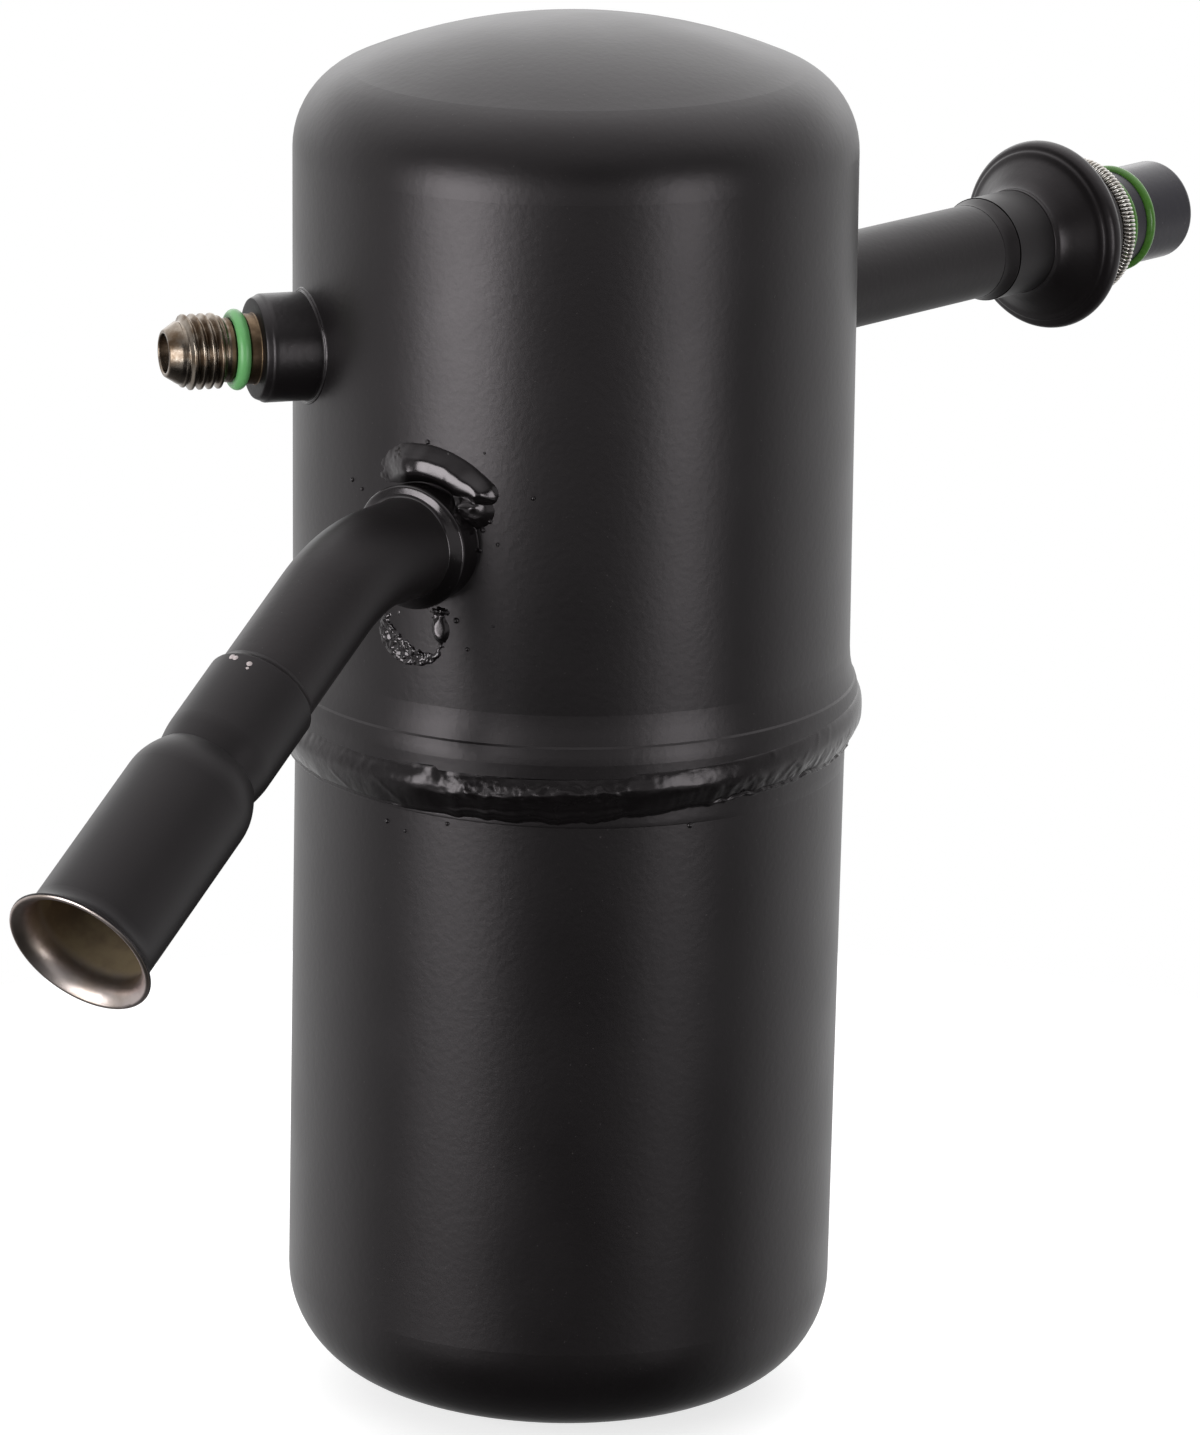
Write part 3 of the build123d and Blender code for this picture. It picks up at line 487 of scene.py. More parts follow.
# Its outline from the top edge to the toe: radius and height
SEAM_OUTLINE = [
    (45.9, 116.3), (46.38, 115.95), (46.72, 115.2), (46.95, 114.2), (47.0, 113.0), (46.75, 111.6),
    (46.25, 110.3), (45.6, 109.0), (44.95, 108.1), (44.62, 107.75), (44.5, 107.6),
]
SEAM_ROWS, SEAM_COLUMNS, SEAM_RADIUS = 56, 1100, 47
ARC_PER_DEGREE = math.radians(SEAM_RADIUS)
# Its stretches, in degrees: calm, the end of the fuller left side, and the pebbled front
CALM_FROM, CALM_TO = 120, 196
LEFT_END = 191.0
FRONT_FROM, FRONT_TO = 195, 233
# The front's crest: an angle and the height there, the rise for each degree, and the reach of its sides
CREST_ANGLE, CREST_HEIGHT, CREST_SLOPE, CREST_REACH = 198, 112.1, 0.04, 2.6
# How far the bead, and its toe on top of that, rise on the right
RIGHT_RISE, TOE_RISE = 2.3, 1.4
# Lumps: angle, height, width, tallness and rise
SEAM_LUMPS = (
    (190.5, 111.8, 2.6, 2.2, 0.4), (201.5, 112.2, 1.0, 0.7, 0.3), (205.0, 111.6, 0.9, 0.6, 0.3),
    (208.5, 112.0, 1.2, 0.6, 0.34), (212.6, 111.5, 0.9, 0.6, 0.3), (216.0, 112.2, 1.1, 0.7, 0.34),
    (219.6, 111.7, 0.8, 0.6, 0.28), (223.6, 112.4, 1.2, 0.7, 0.34), (229.7, 112.7, 1.2, 0.8, 0.3),
    (239.0, 113.4, 3.2, 1.4, 0.2), (247.0, 112.8, 3.6, 1.5, 0.26),
)
# Folds across it: angle, height, lean, half length and rise
SEAM_FOLDS = (
    (170.0, 110.0, 0.95, 2.6, 0.16), (183.8, 110.6, 0.9, 2.6, 0.16), (255.4, 111.4, -0.6, 0.9, 0.18),
    (264.8, 115.6, 0.55, 0.9, 0.14), (270.0, 112.4, -0.9, 1.3, 0.2), (274.0, 113.2, -0.7, 1.2, 0.22),
    (278.3, 114.8, -0.5, 1.4, 0.2), (282.5, 114.6, -0.6, 1.3, 0.2),
)
FOLD_WIDTH = 0.45
# Painted band on the lower cup: its radius, the height it reaches down to, its shares of the way there,
# and its lower edge as radius and height
BAND_RADIUS, BAND_LOW = 44.475, 106.95
BAND_PARTS = (0.06, 0.12, 0.25, 0.6, 1.0)
BAND_EDGE = ((44.455, 106.85), (44.42, 106.75), (44.38, 106.6))
# The bead's hidden back, as radius and height
SEAM_BACK = ((43.95, 106.5), (43.95, 112.5), (43.95, 115.1), (45.2, 115.6))


def seam_relief(p, h, degrees, body, calm):
    """How far swellings, lumps and folds stand out of the bead."""
    swell = rough(p, 9.0, 2, 3.0)
    fold = rough(p * [1, 1, 0.7], 4.0, 2, 9.0)
    grain = rough(p, 1.2, 2, 5.0)
    lift = body * (0.22 * swell * (1 - 0.7 * calm) + 0.15 * fold * (1 - 0.8 * calm) + 0.04 * grain)
    for angle, height, width, tall, rise in SEAM_LUMPS:
        along = (degrees - angle) * ARC_PER_DEGREE
        lift = lift + body * hump(along, h, (0, height), (width, tall), rise)
    for angle, height, lean, length, rise in SEAM_FOLDS:
        along = (degrees - angle) * ARC_PER_DEGREE
        across = along * math.cos(lean) + (h - height) * math.sin(lean)
        down = -along * math.sin(lean) + (h - height) * math.cos(lean)
        lift = lift + body * rise * np.exp(-((across / FOLD_WIDTH) ** 2) - (down / length) ** 2)
    return lift


def seam_bead():
    """Flowing bead under the skirt's edge. Its toe wanders, and rises on one side."""
    section = curve_through(SEAM_OUTLINE, SEAM_ROWS)
    t = np.linspace(0, 1, len(section))[:, None]
    a = angles(SEAM_COLUMNS)[None, :]
    degrees = np.degrees(a)
    rightward = np.cos(a - VIEW_TURN)
    r = section[:, :1] + 0 * a
    h = section[:, 1:] + 0 * a
    p = np.stack([r * np.cos(a), r * np.sin(a), h], -1)
    body = window(t, 0.06, 0.97, 0.12)
    calm = window(degrees, CALM_FROM, CALM_TO, 10)
    lift = seam_relief(p, h, degrees, body, calm)

    # Upright streaks low on the right, under a smooth top
    streak = window(t, 0.45, 0.95, 0.2) * window(rightward, 0.45, 1.4, 0.3)
    streak = streak * np.abs(rough(p * [1, 1, 0.45], 2.4, 2, 1.0)) * 0.3
    smooth_top = 1 - 0.85 * window(rightward, 0.5, 1.4, 0.3) * window(t, -1, 0.4, 0.3)
    r = r + (lift * smooth_top + streak) * (0.35 + 0.65 * (1 - t))

    # On the left it is fuller below, with a shallow hollow along its top
    left = window(degrees, 60, 260, 30) / (1 + np.exp((degrees - LEFT_END) / 1.6))
    r = r + body * 0.42 * left * window(h, 0, 113.6, 2.6)
    r = r - 0.3 * left * np.exp(-(((h - 115.3) / 0.9) ** 2))

    # In front it falls away from a crest on both sides, and is pebbled
    front = body * window(degrees, FRONT_FROM, FRONT_TO, 5)
    crest = CREST_HEIGHT + CREST_SLOPE * (degrees - CREST_ANGLE)
    above = np.clip((h - crest) / CREST_REACH, 0, 1)
    below = np.clip((crest - 0.2 - h) / CREST_REACH, 0, 1) * window(h, 109.3, 200, 1.6)
    r = r - front * (0.62 * above + 0.42 * below)
    r = r + front * window(h, 111.3, 114.4, 1.0) * 0.13 * rough(p, 1.3, 2, 21.0)

    # It rises to the right, its toe more than its top, and the toe ends in a thin lip at the sides
    ragged = rough(np.stack([SEAM_RADIUS * np.cos(a), SEAM_RADIUS * np.sin(a), 0 * a], -1), 4.0, 4, 7.0)
    rise = RIGHT_RISE * np.clip(rightward, 0, 1) ** 3
    toe = TOE_RISE * window(rightward, 0.2, 0.9, 0.4) + 0.5 * ragged * (1 - 0.6 * calm) - 0.1
    h = h + rise + window(t, 0.55, 1.4, 0.7) * toe + lift * 0.25
    lip = 0.48 * window(degrees, 130, 187, 8) + 0.6 * window(degrees, 250, 305, 8) * (0.75 + 0.6 * ragged)
    r = r + lip * np.exp(-(((h - h[-1] - 0.4) / 0.22) ** 2)) * (h > h[-1] + 0.05)
    bead = apply(LEAN, np.stack([r * np.cos(a), r * np.sin(a), h], -1))

    # Flush band on the lower cup under the raised toe, then the closed back
    x, y, toe_height = bead[-1].T
    foot = np.arctan2(y, x)
    drop = np.maximum(toe_height - BAND_LOW, 0.1)
    band = [(BAND_RADIUS, toe_height - part * drop) for part in BAND_PARTS] + list(BAND_EDGE)
    rest = [
        np.stack([radius * np.cos(foot), radius * np.sin(foot), level + 0 * foot], -1)
        for radius, level in band + list(SEAM_BACK)
    ]
    surface_of_row = [0] * len(bead) + [1] * len(band) + [0] * len(SEAM_BACK)
    build("seam_bead", np.vstack([bead, rest]), [weld_paint, paint_surface], ["seam_weld"],
          surface_of_row=surface_of_row)


# The welds at the stems' roots. Their angles start at the stem's Y and turn towards its Z.

# Bevelled collar round the inlet tube: station and radius
COLLAR_OUTLINE = [
    (50.7, 7.86), (50.3, 7.95), (50.12, 8.1), (50.05, 8.28), (49.97, 8.42), (49.84, 9.0), (49.74, 9.45),
    (49.66, 9.66), (49.48, 9.84), (49.1, 9.9), (48.5, 9.82), (47.2, 9.66), (45.8, 9.55), (44.8, 9.5),
]
BEVEL_RADIUS, BEVEL_WIDTH = 8.42, 1.3
# Swelling above the inlet tube: distance from the tube's axis and height over the can
ARCH_OUTLINE = [
    (9.0, -0.3), (9.5, 0.0), (10.0, 0.55), (10.5, 1.15), (10.9, 1.52), (11.3, 1.68), (12.0, 1.68),
    (12.7, 1.58), (13.25, 1.4), (13.8, 1.05), (14.5, 0.58), (15.2, 0.14), (15.6, -0.06), (16.0, -0.32),
    (18.0, -0.5), (22.0, -0.5),
]
WELD_INNER, WELD_OUTER, WELD_ROWS, WELD_COLUMNS = 9.45, 22.0, 110, 540
# Features round the collar, in the inlet's Y and Z: centre, size and rise of the lump beside it, and of the
# patch and the facet below it
LUMP_Y, LUMP_Z, LUMP_WIDTH, LUMP_TALLNESS, LUMP_RISE = 7.6, 6.0, 3.2, 2.4, 2.5
PATCH_Y, PATCH_Z, PATCH_WIDTH, PATCH_TALLNESS = -2.2, -15.6, 6.6, 5.0
FACET_Y, FACET_Z, FACET_WIDTH, FACET_TALLNESS, FACET_RISE = 3.3, -13.7, 1.5, 2.0, 0.5
# Bubbles on the lump: place, size and rise
LUMP_BUBBLES = (
    ((5.7, 6.1), 0.75, 0.55), ((7.4, 6.8), 0.6, 0.45), ((9.5, 7.0), 0.65, 0.45),
    ((7.0, 4.4), 0.6, 0.5), ((9.2, 5.0), 0.6, 0.35),
)
# How far the welds' hidden backs lie under the can's surface
BURIED = -1.2


def collar_rows(a, topness):
    """The collar's loops, a little off centre and uneven, its face steeper away from the top."""
    rows = []
    for station, radius in curve_through(COLLAR_OUTLINE, 50):
        drop = (radius - TUBE_RADIUS) / 1.9
        y, z = radius * np.cos(a) - 0.1 * drop, radius * np.sin(a) - 0.2 * drop
        uneven = 0.07 * drop * rough(np.stack([np.full(len(a), station), y, z], -1), 3.5, 2, 5.0)
        steeper = 0.34 * max(min(radius - BEVEL_RADIUS, BEVEL_WIDTH), 0) * (1 - topness)
        rows.append(np.stack([station + uneven - steeper, y, z], -1))
    return rows


def bubbled_lump(y, z):
    """Height of the lump beside the collar."""
    off_centre = ((y - LUMP_Y) / LUMP_WIDTH) ** 2 + ((z - LUMP_Z) / LUMP_TALLNESS) ** 2
    lump = LUMP_RISE * np.exp(-(off_centre ** 1.25)) - 0.35
    for centre, size, rise in LUMP_BUBBLES:
        lump = lump + hump(y, z, centre, (size, size), rise)
    return lump


def rough_patch(y, z, grit):
    """Height of the patch below the tube: a thin rim and a gritty crescent with a raised inner edge."""
    patch = np.hypot((y - PATCH_Y) / PATCH_WIDTH, (z - PATCH_Z) / PATCH_TALLNESS)
    open_top = 1 - window(y, -5.5, 1.4, 2.0) * window(z, -14.6, 0, 2.0)
    ridge = np.exp(-(((patch - 0.86) / 0.15) ** 2)) * open_top
    inward = z + 15.9 + 0.75 * (y + 4.5) - 0.06 * (y + 4.5) ** 2
    inner = np.exp(-((inward / 0.9) ** 2)) * window(y, -7.6, 1.2, 2.0)
    crescent = window(inward, -20, 0.2, 0.8) * window(patch, -1, 0.95, 0.12) * window(y, -8.4, 4.2, 1.6)
    rim = ridge * (0.3 + 0.2 * grit) * (1 - 0.6 * crescent)
    return rim + crescent * (0.3 + 0.16 * grit) + inner * (0.14 + 0.2 * grit)


def facet(y, z, height):
    """Puts a smooth sloping facet over the patch's right end."""
    across, upward = y - FACET_Y, z - FACET_Z
    cover = np.exp(-(((across / FACET_WIDTH) ** 2 + (upward / FACET_TALLNESS) ** 2) ** 3))
    return height * (1 - cover) + cover * (FACET_RISE - 0.12 * upward - 0.08 * across)


def inlet_root_weld():
    """Bevelled collar round the tube, a smooth swelling above it, a bubbled lump and a rough patch below."""
    a = angles(WELD_COLUMNS)
    degrees = np.degrees(a)
    around = np.where(degrees > 250, degrees - 360, degrees)
    rows = collar_rows(a, window(around, 48, 140, 40))
    profile = curve_through(ARCH_OUTLINE, 300)
    fading = 0.7 * window(around, -400, 114, 26) + 0.3 * window(around, -400, 130, 46)
    arch = window(around, 36, 400, 12) * fading
    outward = 1.25 * window(around, 0, 50, 18)
    for part in np.linspace(0, 1, WELD_ROWS):
        rho = WELD_INNER + (WELD_OUTER - WELD_INNER) * part
        place = shell_row(INLET, rho, 0, a)
        base, y, z = place.T
        shift = outward * window(rho, 10, 14.3, 1.6) + 0.22 * rough(place, 6.0, 2, 12.0)
        height = np.interp(rho - shift, profile[:, 0], profile[:, 1])
        swell = 1 + 0.045 * np.clip(y - 4, 0, 8) + 0.06 * rough(place, 3.5, 2, 2.0)
        height = -0.25 + (height + 0.25) * arch * swell
        height = np.maximum(height, bubbled_lump(y, z))
        grit = rough(place, 0.8, 3, 4.0)
        height = facet(y, z, height + rough_patch(y, z, grit))
        crumb = hump(y, z, (3.0, -10.9), (1.7, 0.8), 0.62) * (1 + 0.6 * grit)
        height = height + (crumb + hump(y, z, (-4.6, -12.4), (0.5, 0.9), 0.3))
        specks = window(around, 104, 138, 14) * window(rho, 11.0, 15.8, 1.2)
        height = height + specks * 0.08 * rough(place, 1.1, 2, 6.0)
        rows.append(np.stack([base + height, y, z], -1))
    for rho in (WELD_OUTER, 15.0, 7.9):
        rows.append(shell_row(INLET, rho, BURIED, a))
    build("inlet_root_weld", np.array(rows), [pooled_paint], ["inlet_weld"], INLET)


def outlet_root_weld():
    """Rough weld ring where the outlet pipe leaves the can."""
    foot, top, reach, uneven = 10.1, TUBE_RADIUS + 0.1, 2.3, 0.35
    a = angles(240)
    across = foot - top
    outline = [(top, reach), (top + 0.25 * across, reach * 0.95), (top + 0.65 * across, reach * 0.6),
               (foot, 0.1), (foot + 0.4, -0.35)]
    rows = []
    for radius, lift in curve_through(outline, 22):
        place = np.stack([np.full(len(a), lift), radius * np.cos(a), radius * np.sin(a)], -1)
        push = uneven * (rough(place, 2.4, 3, 2.0) + 0.4 * rough(place, 0.8, 2, 6.0))
        row = shell_row(OUTLET, radius + push * (0.3 if lift > reach * 0.9 else 1.0), lift, a)
        row[:, 0] += push * 0.6
        rows.append(row)
    for radius, lift in ((foot, BURIED), (top - 0.1, BURIED), (top - 0.1, reach - 0.4)):
        rows.append(shell_row(OUTLET, radius, lift, a))
    build("outlet_root_weld", np.array(rows), [weld_paint], ["outlet_weld"], OUTLET)


def port_foot_weld():
    """Small dark fillet round the boss with a thin raised line at its outer edge."""
    boss, line = 8.5, 8.9
    a = angles(260)
    section = curve_through([
        (boss, 0.7), (8.62, 0.34), (8.76, 0.12), (line, 0.1), (9.02, 0.2), (9.12, 0.22), (9.22, 0.12),
        (9.34, -0.08), (9.5, -0.35),
    ], 24)
    rows = []
    for radius, lift in section:
        place = np.stack([np.full(len(a), 0.4 * lift), radius * np.cos(a), radius * np.sin(a)], -1)
        wave = rough(place, 5.0, 2, 5.0) + 0.35 * rough(place, 1.2, 2, 9.0)
        wavy_radius = radius + 0.1 * wave * min((radius - boss) / 0.5, 1)
        rows.append(shell_row(PORT, wavy_radius, lift * (1 + 0.3 * wave * (radius > line)), a))
    for radius, lift in ((9.2, BURIED), (8.45, BURIED), (8.45, 0.6)):
        rows.append(shell_row(PORT, radius, lift, a))
    build("port_foot_weld", np.array(rows), [weld_paint], ["port_weld"], PORT)


# The tubes, couplings and the port


def bent_inlet_tube():
    """The inlet tube, its inner side pressed flat by the bending tool."""
    a = angles(144)
    inner_end = 38.6
    lengths = np.concatenate([
        np.linspace(inner_end - BEND_START, -8, 8),
        np.linspace(-7, BEND_LENGTH + 14, 90),
        np.linspace(BEND_LENGTH + 15, BEND_LENGTH + RUN_LENGTH, 10),
    ])
    from_below = np.angle(np.exp(1j * (a + math.pi / 2)))
    flat = 0.85 * np.exp(-((from_below / 0.62) ** 2))
    shoulders = 0.22 * np.exp(-(((np.abs(from_below) - 1.15) / 0.4) ** 2))
    rows = []
    for radius, order in ((TUBE_RADIUS, lengths), (TUBE_RADIUS - TUBE_WALL, lengths[::-1])):
        for length in order:
            centre, _, upward = tube_point(length)
            pressed = math.exp(-(((length - BEND_LENGTH * 0.55) / 9.0) ** 2))
            r = radius - pressed * (flat - shoulders)
            rows.append(centre + np.outer(r * np.cos(a), [0, 1, 0]) + np.outer(r * np.sin(a), upward))
    build("bent_inlet_tube", np.array(rows), [tube_paint], ["inlet_tube"], INLET)


def braze(name, node, matrix, seam, sleeve_radius, reach, groove, seed):
    """Filler that flares from the tube up to a thin groove at the sleeve's edge."""
    full = sleeve_radius - TUBE_RADIUS
    outline = curve_through([
        (seam - reach, TUBE_RADIUS + 0.005), (seam - 0.72 * reach, TUBE_RADIUS + 0.14 * full),
        (seam - 0.4 * reach, TUBE_RADIUS + 0.45 * full), (seam - 0.3, TUBE_RADIUS + 0.84 * full),
        (seam - 0.14, TUBE_RADIUS + 0.88 * full),
        (seam - 0.03, TUBE_RADIUS + (0.92 - 0.16 * groove) * full),
        (seam + 0.04, TUBE_RADIUS + (0.92 - 0.42 * groove) * full),
    ], 26)
    inner = np.array([(seam + 0.04, TUBE_RADIUS - 0.1), (seam - reach, TUBE_RADIUS - 0.1)])

    def uneven(station, radius, a):
        place = np.stack([station, 9 * np.cos(a) + 0 * station, 9 * np.sin(a) + 0 * station], -1)
        outside = np.clip((radius - TUBE_RADIUS) / full, 0, 1)
        return station, radius + outside * 0.05 * rough(place, 4.0, 2, seed)

    spun(name, np.vstack([outline, inner]), [tube_paint], [node], matrix, 200, push=uneven)


def rolled_cage():
    """Spun cup behind the garter spring: flush hub, dark dish, rolled rim and a throat round the spring."""
    outer = curve_through([
        (112.0, 8.76), (112.12, 8.9), (112.4, 8.98), (113.2, 9.1), (114.3, 9.9), (115.6, 11.2),
        (116.8, 12.5), (117.5, 13.4), (117.95, 14.4), (118.35, 14.75), (118.72, 15.5), (119.4, 15.98),
        (120.4, 16.15), (121.1, 15.95), (121.7, 15.5), (122.3, 14.8), (122.9, 13.9), (123.5, 13.0),
        (124.2, 12.2), (125.2, 11.6), (126.6, 11.3), (127.9, 11.2),
    ], 130)
    inner = curve_through([
        (128.0, 11.0), (127.8, 10.85), (126.6, 10.9), (125.0, 11.2), (123.9, 11.8), (122.9, 12.8),
        (121.9, 14.1), (120.9, 15.0), (120.1, 15.1), (119.2, 14.4), (118.2, 13.0), (117.0, 11.4),
        (115.8, 10.1), (114.8, 9.1), (113.6, 8.76), (112.2, 8.75),
    ], 70)
    spun("rolled_cage", np.vstack([outer, inner]), [dim_paint], ["spring_cage"], OUTLET, 200)


def port_body():
    """Painted boss and bare threaded nose in one piece, with a true helical thread."""
    pitch, crest, root = 1.5, 6.0, 5.08
    thread_start, thread_end = 58.1, 66.3
    side = [
        (41.9, 1.6), (41.9, 6.5), (43.6, 6.5), (43.7, 8.6), (45.0, 8.6), (48, 8.6), (52.0, 8.6),
        (52.55, 8.6), (52.8, 8.52), (52.95, 8.36), (53.1, 8.3), (53.5, 8.17), (53.8, 8.03),
    ]
    face = [(53.95, 7.93), (54.0, 7.8), (54.0, 6.6)]
    neck = [
        (54.0, 5.75), (54.05, 5.6), (54.2, 5.55), (55.5, 5.55), (55.65, 5.5), (55.7, 5.4), (55.7, 4.4),
        (55.8, 4.3), (57.9, 4.3), (58.05, 4.35), (58.1, 4.6),
    ]
    # The helix below gives the thread's radii, which stand here as -1. Its first rows take the neck's darker
    # steel, painted shade.
    thread = [(station, -1.0) for station in np.linspace(thread_start, thread_end, 84)]
    shaded_rows = 7
    nose = [
        (66.45, 5.0), (66.8, 4.8), (68.3, 3.85), (68.5, 3.7), (68.6, 3.5), (68.6, 3.25), (68.5, 3.12),
        (68.3, 3.1), (62.1, 3.1), (62.1, 2.7), (56.1, 2.7), (56.1, 2.1), (46.6, 2.1), (46.6, 1.6),
    ]
    outline = side + face + neck + thread + nose

    def helix(station, radius, a):
        phase = ((station + 0.4) / pitch - a / (2 * math.pi)) % 1.0
        ridge = np.clip(1.25 - 2.6 * np.abs(phase - 0.5), 0, 1)
        runout = window(station, thread_start + 1.35, thread_end - 0.45, 0.8)
        worn = window(station, thread_start + 1.0, thread_end + 2, 0.9)
        cut = root + (crest - root) * ridge * worn * (0.25 + 0.75 * runout) - 0.3 * worn * (1 - runout)
        return station, np.where(radius < 0, cut, radius)

    surfaces = [paint_surface, thread_steel, shaded_neck_steel, face_paint]
    rows = [0] * len(side) + [3] * len(face) + [2] * (len(neck) + shaded_rows)
    rows += [1] * (len(outline) - len(rows))
    spun("port_body", outline, surfaces, ["switch_port"], PORT, 144, rows, helix)


def garter_coil():
    """The garter spring as a closed coil round the nose."""
    turns, steps, sides = 104, 14, 8
    ring, coil, wire, station = 10.6, 1.26, 0.28, 129.75
    t = np.linspace(0, 2 * math.pi, turns * steps, endpoint=False)
    wind = turns * t
    slack = 0.03 * np.sin(3 * t) + 0.02 * np.sin(7 * t + 1)
    reach = ring + (coil + slack) * np.cos(wind)
    line = np.stack([station + (coil + slack) * np.sin(wind), reach * np.cos(t), reach * np.sin(t)], -1)
    core = np.stack([np.full_like(t, station), ring * np.cos(t), ring * np.sin(t)], -1)
    ahead = np.roll(line, -1, 0) - np.roll(line, 1, 0)
    ahead /= np.linalg.norm(ahead, axis=1)[:, None]
    out = line - core
    out -= (out * ahead).sum(1)[:, None] * ahead
    out /= np.linalg.norm(out, axis=1)[:, None]
    side = np.cross(ahead, out)
    w = angles(sides)[None, :, None]
    grid = line[:, None] + wire * (np.cos(w) * out[:, None] + np.sin(w) * side[:, None])
    build("garter_coil", grid, [materials["spring_steel"]], ["garter_spring"], OUTLET)


def valve_coil():
    """The valve's spring, as its own copy of the part's mesh in place of the part."""
    spring = frame["nodes"]["valve_spring"]
    coil = bpy.data.objects.new("valve_coil", spring.data.copy())
    coil.matrix_world = spring.matrix_world
    scene.collection.objects.link(coil)
    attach(coil, BODY)
    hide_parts("valve_spring")
    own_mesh(coil)


# The drying bag and the spatter


def drying_bag():
    """Felt bag of drying beads, sewn flat across both ends."""
    centre, low, length, radius = (-2.0, 25.0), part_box("desiccant_bag")[0][2] / MM, 84.0, 11.2
    rounding, sewn, half_hem = 12.0, 1.6, 0.7
    a = angles(96)
    rows = []
    for level in np.concatenate([[0.0, 0.004], np.linspace(0.012, 0.988, 90), [0.996, 1.0]]):
        end = min(level, 1 - level) * length
        thin = radius * math.sqrt(max(1 - (max(rounding - end, 0) / rounding) ** 2, 0.0))
        if end < 2 * sewn:
            thin = half_hem + (thin - half_hem) * max(0, (end - sewn) / sewn)
        wide = radius * (0.80 + 0.2 * min(end / 9.0, 1.0))
        x, y = wide * np.cos(a), thin * np.sin(a)
        p = np.stack([centre[0] + x, centre[1] + y, np.full_like(x, low + level * length)], -1)
        beads = rough(p, 2.6, 2, 1.0) * 0.22 * min(end / 8, 1)
        p[:, 0] += np.cos(a) * (beads - 0.15)
        p[:, 1] += np.sin(a) * (beads - 0.15) * min(end / 4, 1)
        rows.append(p)
    felt = [materials["felt"]]
    bag = build("drying_bag", np.array(rows), felt, ["desiccant_bag"], close_rows=False)
    face_outward(bag.data, fill_holes=True)


# Drops on the can round the inlet: Y and Z in the inlet's frame, and radius
INLET_DROPS = (
    (0.5, 15.9, 0.42), (4.2, 14.5, 0.34), (10.1, 15.3, 0.22), (-14.9, 7.1, 0.36), (-12.6, 6.1, 0.3),
    (11.1, 4.5, 0.42), (10.0, 3.0, 0.45), (12.4, 0.9, 0.32), (9.6, -0.3, 0.4), (17.5, 8.7, 0.38),
    (5.9, -12.0, 0.5), (7.8, -16.4, 0.36), (11.9, -12.3, 0.22), (2.0, 11.8, 0.16),
)
# Drops on the lower cup: angle, height and radius
SEAM_DROPS = ((-178.7, 104.3, 0.42), (-174.0, 103.4, 0.3), (-164.0, 105.9, 0.36), (-113.3, 106.5, 0.5))
# Small drops on the inlet's sleeve, coloured light as painted highlights: station, angle and radius
SLEEVE_GLINTS = ((21.1, 101, 0.6), (21.3, 96, 0.55), (21.8, 78, 0.55), (22.7, 77, 0.3))


def add_drop(verts, faces, matrix, centre, radius):
    """Adds a flattened round drop that points along a frame's X, with a flat underside."""
    rings, sides, flatness, reach = 5, 12, 0.8, 1.75
    first = len(verts)
    outline = [(0.0, radius * flatness)]
    for i in range(1, rings + 1):
        tilt = i / rings * reach
        outline.append((math.sin(tilt) * radius, math.cos(tilt) * radius * flatness))
    x, y, z = centre
    for k, (rho, lift) in enumerate(outline):
        for angle in (angles(sides) if k else [0.0]):
            point = np.array([x + lift, y + rho * math.cos(angle), z + rho * math.sin(angle)])
            verts.append(apply(matrix, point))
    faces.extend((first, first + 1 + i, first + 1 + (i + 1) % sides) for i in range(sides))
    for k in range(rings - 1):
        a, b = first + 1 + k * sides, first + 1 + (k + 1) * sides
        faces.extend((a + i, b + i, b + (i + 1) % sides, a + (i + 1) % sides) for i in range(sides))
    last = first + 1 + (rings - 1) * sides
    faces.append(tuple(last + i for i in range(sides)))


def spatter():
    """Small weld drops on the can round the inlet and under the seam, and small drops on the sleeve whose
    light colour is a painted highlight.
    """
    verts, faces = [], []
    for y, z, radius in INLET_DROPS:
        x = float(on_shell(INLET, np.array(y), np.array(z)))
        add_drop(verts, faces, INLET, (x, y, z), radius)
    for angle, height, radius in SEAM_DROPS:
        add_drop(verts, faces, move(0, 0, height) @ turn(angle), (CAN_RADIUS, 0, 0), radius)
    painted = len(faces)
    for station, angle, radius in SLEEVE_GLINTS:
        c, s = math.cos(math.radians(angle)), math.sin(math.radians(angle))
        outward = np.array([[0, 1, 0, station], [c, 0, s, 0], [s, 0, -c, 0], [0, 0, 0, 1]])
        add_drop(verts, faces, RUN @ outward, (INLET_SLEEVE_RADIUS - 0.45 * radius, 0, 0), radius)
    surface_of_face = [0] * painted + [1] * (len(faces) - painted)
    add_piece("spatter", np.array(verts), faces, [weld_paint, sleeve_glint_paint], surface_of_face)


seam_bead()
inlet_root_weld()
outlet_root_weld()
port_foot_weld()
bent_inlet_tube()
braze("inlet_braze_fillet", "inlet_braze", RUN, seam=20.4, sleeve_radius=INLET_SLEEVE_RADIUS,
      reach=1.7, groove=0.15, seed=1.0)
braze("outlet_braze_fillet", "outlet_braze", OUTLET, seam=102.9, sleeve_radius=OUTLET_SLEEVE_RADIUS,
      reach=3.3, groove=1.0, seed=6.0)
rolled_cage()
port_body()
garter_coil()
valve_coil()
drying_bag()
spatter()


# Light and floor, in metres

# Lamps: name, angle from the camera's side (positive to the left), distance, lower edge, width, height
# and radiance
LAMPS = (
    ("left_box", 45, 0.75, -0.05, 0.42, 0.45, 6.9),
    ("left_low", 47, 0.75, -0.42, 0.38, 0.36, 0.45),
    ("right_box", -44, 0.75, -0.04, 0.29, 0.44, 4.0),
    ("right_low", -44, 0.75, -0.42, 0.28, 0.36, 0.35),
    ("front_panel", 0, 0.8, -0.02, 0.7, 0.43, 0.42),
)
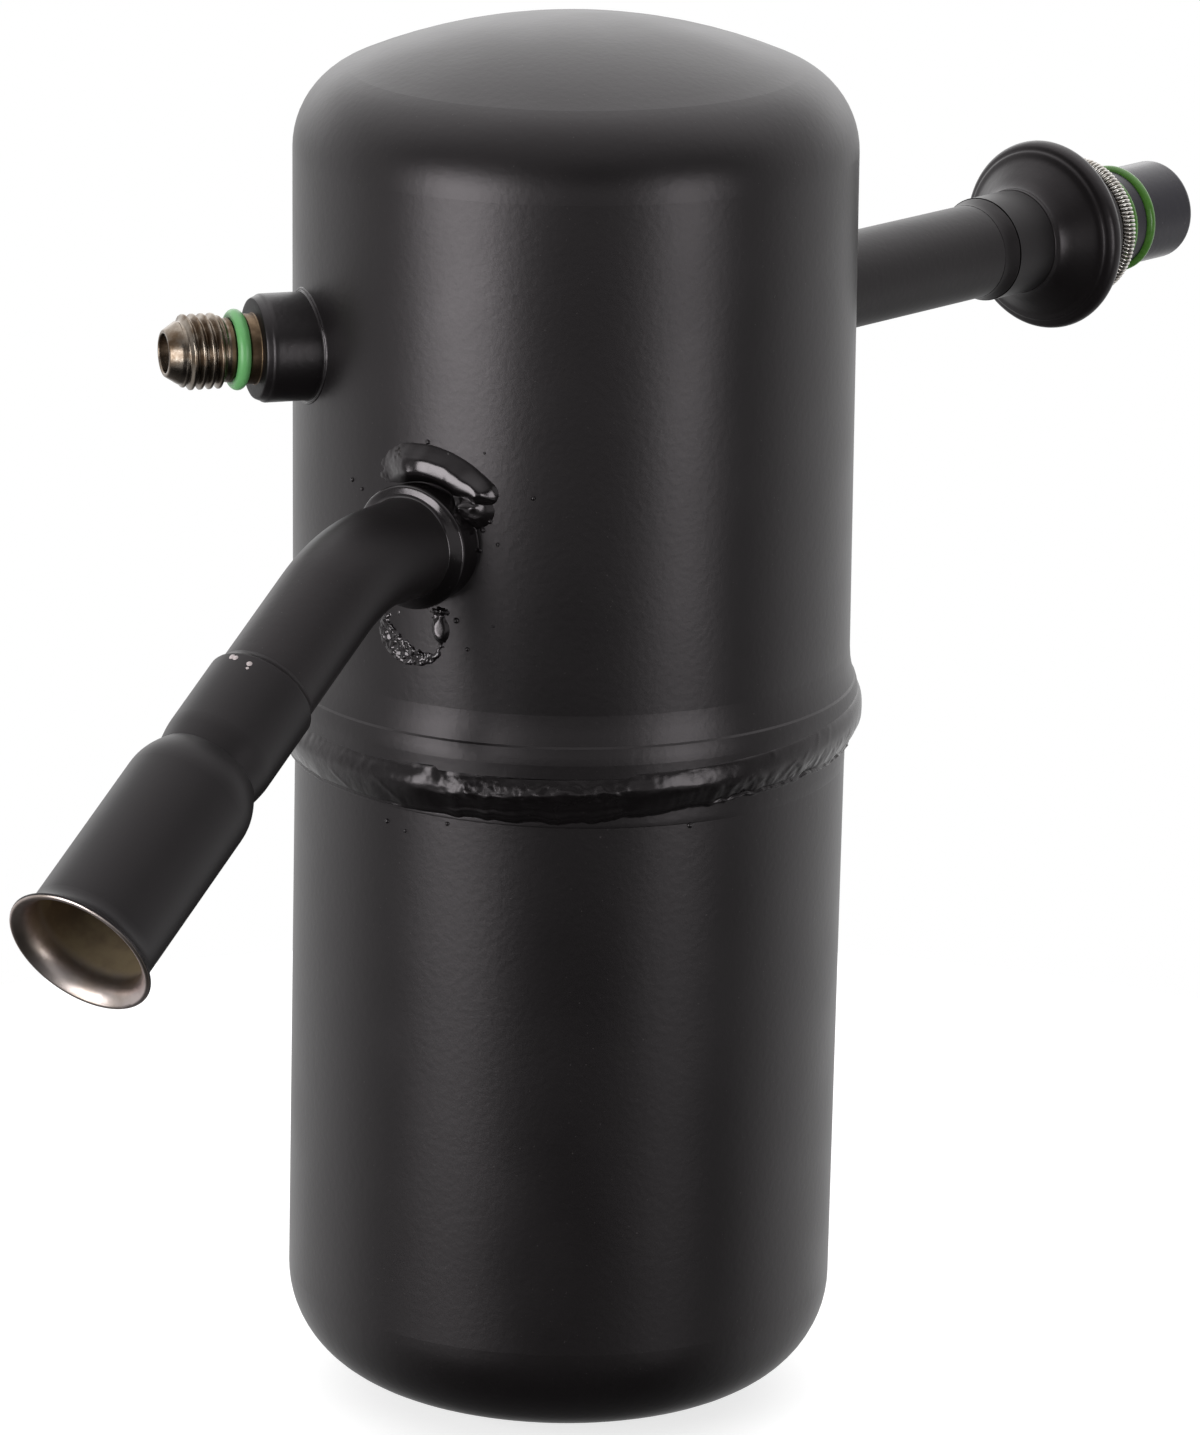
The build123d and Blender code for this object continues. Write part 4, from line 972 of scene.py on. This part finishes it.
# The studio's brightness on the camera's side and at the back, and what is added straight behind and above
WORLD_FRONT, WORLD_BACK, WORLD_BEHIND, WORLD_ABOVE = 0.03, 0.9, 1.25, 0.65
FLOOR_RADIUS, FLOOR_CENTRE, FLOOR_GLOW = 0.22, (0.02, 0, -0.0003), 0.72


def softbox(name, angle, distance, bottom, width, height, radiance):
    data = bpy.data.lights.new(name, "AREA")
    data.shape = "RECTANGLE"
    data.size = width
    data.size_y = height
    data.energy = radiance * math.pi * width * height
    lamp = bpy.data.objects.new(name, data)
    a = math.radians(angle)
    spot = turned(-distance * math.sin(a), -distance * math.cos(a), bottom + height / 2)
    lamp.location = spot
    aim = Vector((0, 0, spot.z)) - spot
    lamp.rotation_euler = aim.to_track_quat("-Z", "Y").to_euler()
    scene.collection.objects.link(lamp)


def make_world():
    """A white studio: bright behind and above the object, dim on the camera's side, and white where
    the camera sees it, also through something."""
    world = bpy.data.worlds.new("studio")
    scene.world = world
    world.use_nodes = True
    world.cycles.sampling_method = "NONE"
    world.node_tree.nodes.clear()
    n = Graph(world.node_tree)
    way = n.add("TexCoord").outputs["Generated"]
    back = n.vector("DOT_PRODUCT", way, turned(0, 1, 0))
    up = n.vector("DOT_PRODUCT", way, (0, 0, 1))
    level = n.ramp(back, -0.35, 0.25, WORLD_FRONT, WORLD_BACK, "LINEAR")
    behind = n.math("MULTIPLY", n.ramp(back, 0.35, 1.0, 0, WORLD_BEHIND), n.ramp(up, -0.15, 0.25))
    behind = n.math("MULTIPLY", behind, n.ramp(up, 0.12, 0.55, 1, 0.6))
    level = n.math("ADD", level, behind)
    level = n.math("ADD", level, n.ramp(up, 0.4, 0.95, 0, WORLD_ABOVE))
    level = n.math("MULTIPLY", level, n.ramp(up, -0.9, -0.35, 0.1, 1))
    path = n.add("LightPath")
    seen = n.math("MAXIMUM", path.outputs["Is Camera Ray"], path.outputs["Is Transmission Ray"])
    lit = n.math("MULTIPLY", level, n.ramp(seen, 0, 1, 1, 0, "LINEAR"))
    background = n.add("Background")
    background.inputs["Color"].default_value = (1, 1, 1, 1)
    n.link(n.math("ADD", lit, seen), background.inputs["Strength"])
    n.link(background.outputs[0], n.add("OutputWorld").inputs[0])


def make_floor():
    """A round white floor that keeps the object's shadow and stays out of the dark paint's reflections."""
    rings, sides = 6, 96
    verts = [(0, 0, 0)]
    for i in range(1, rings + 1):
        r = FLOOR_RADIUS * i / rings
        for k in range(sides):
            verts.append((r * math.cos(2 * math.pi * k / sides), r * math.sin(2 * math.pi * k / sides), 0))
    faces = [(0, 1 + k, 1 + (k + 1) % sides) for k in range(sides)]
    for i in range(rings - 1):
        a, b = 1 + i * sides, 1 + (i + 1) * sides
        faces += [(a + k, b + k, b + (k + 1) % sides, a + (k + 1) % sides) for k in range(sides)]
    mesh = bpy.data.meshes.new("floor")
    mesh.from_pydata(verts, [], faces)
    floor = bpy.data.objects.new("floor", mesh)
    floor.location = FLOOR_CENTRE
    floor.visible_glossy = False
    scene.collection.objects.link(floor)
    n = Surface("pale_floor")
    glow = n.math("MULTIPLY", n.add("LightPath").outputs["Is Camera Ray"], FLOOR_GLOW)
    n.shader.inputs["Emission Color"].default_value = (1, 1, 1, 1)
    n.link(glow, n.shader.inputs["Emission Strength"])
    mesh.materials.append(n.finish((0.5, 0.5, 0.5, 1), 0.9, n.bump(n.noise(900), 0.05, 0.0001)))


make_camera()
for lamp_values in LAMPS:
    softbox(*lamp_values)
make_world()
make_floor()
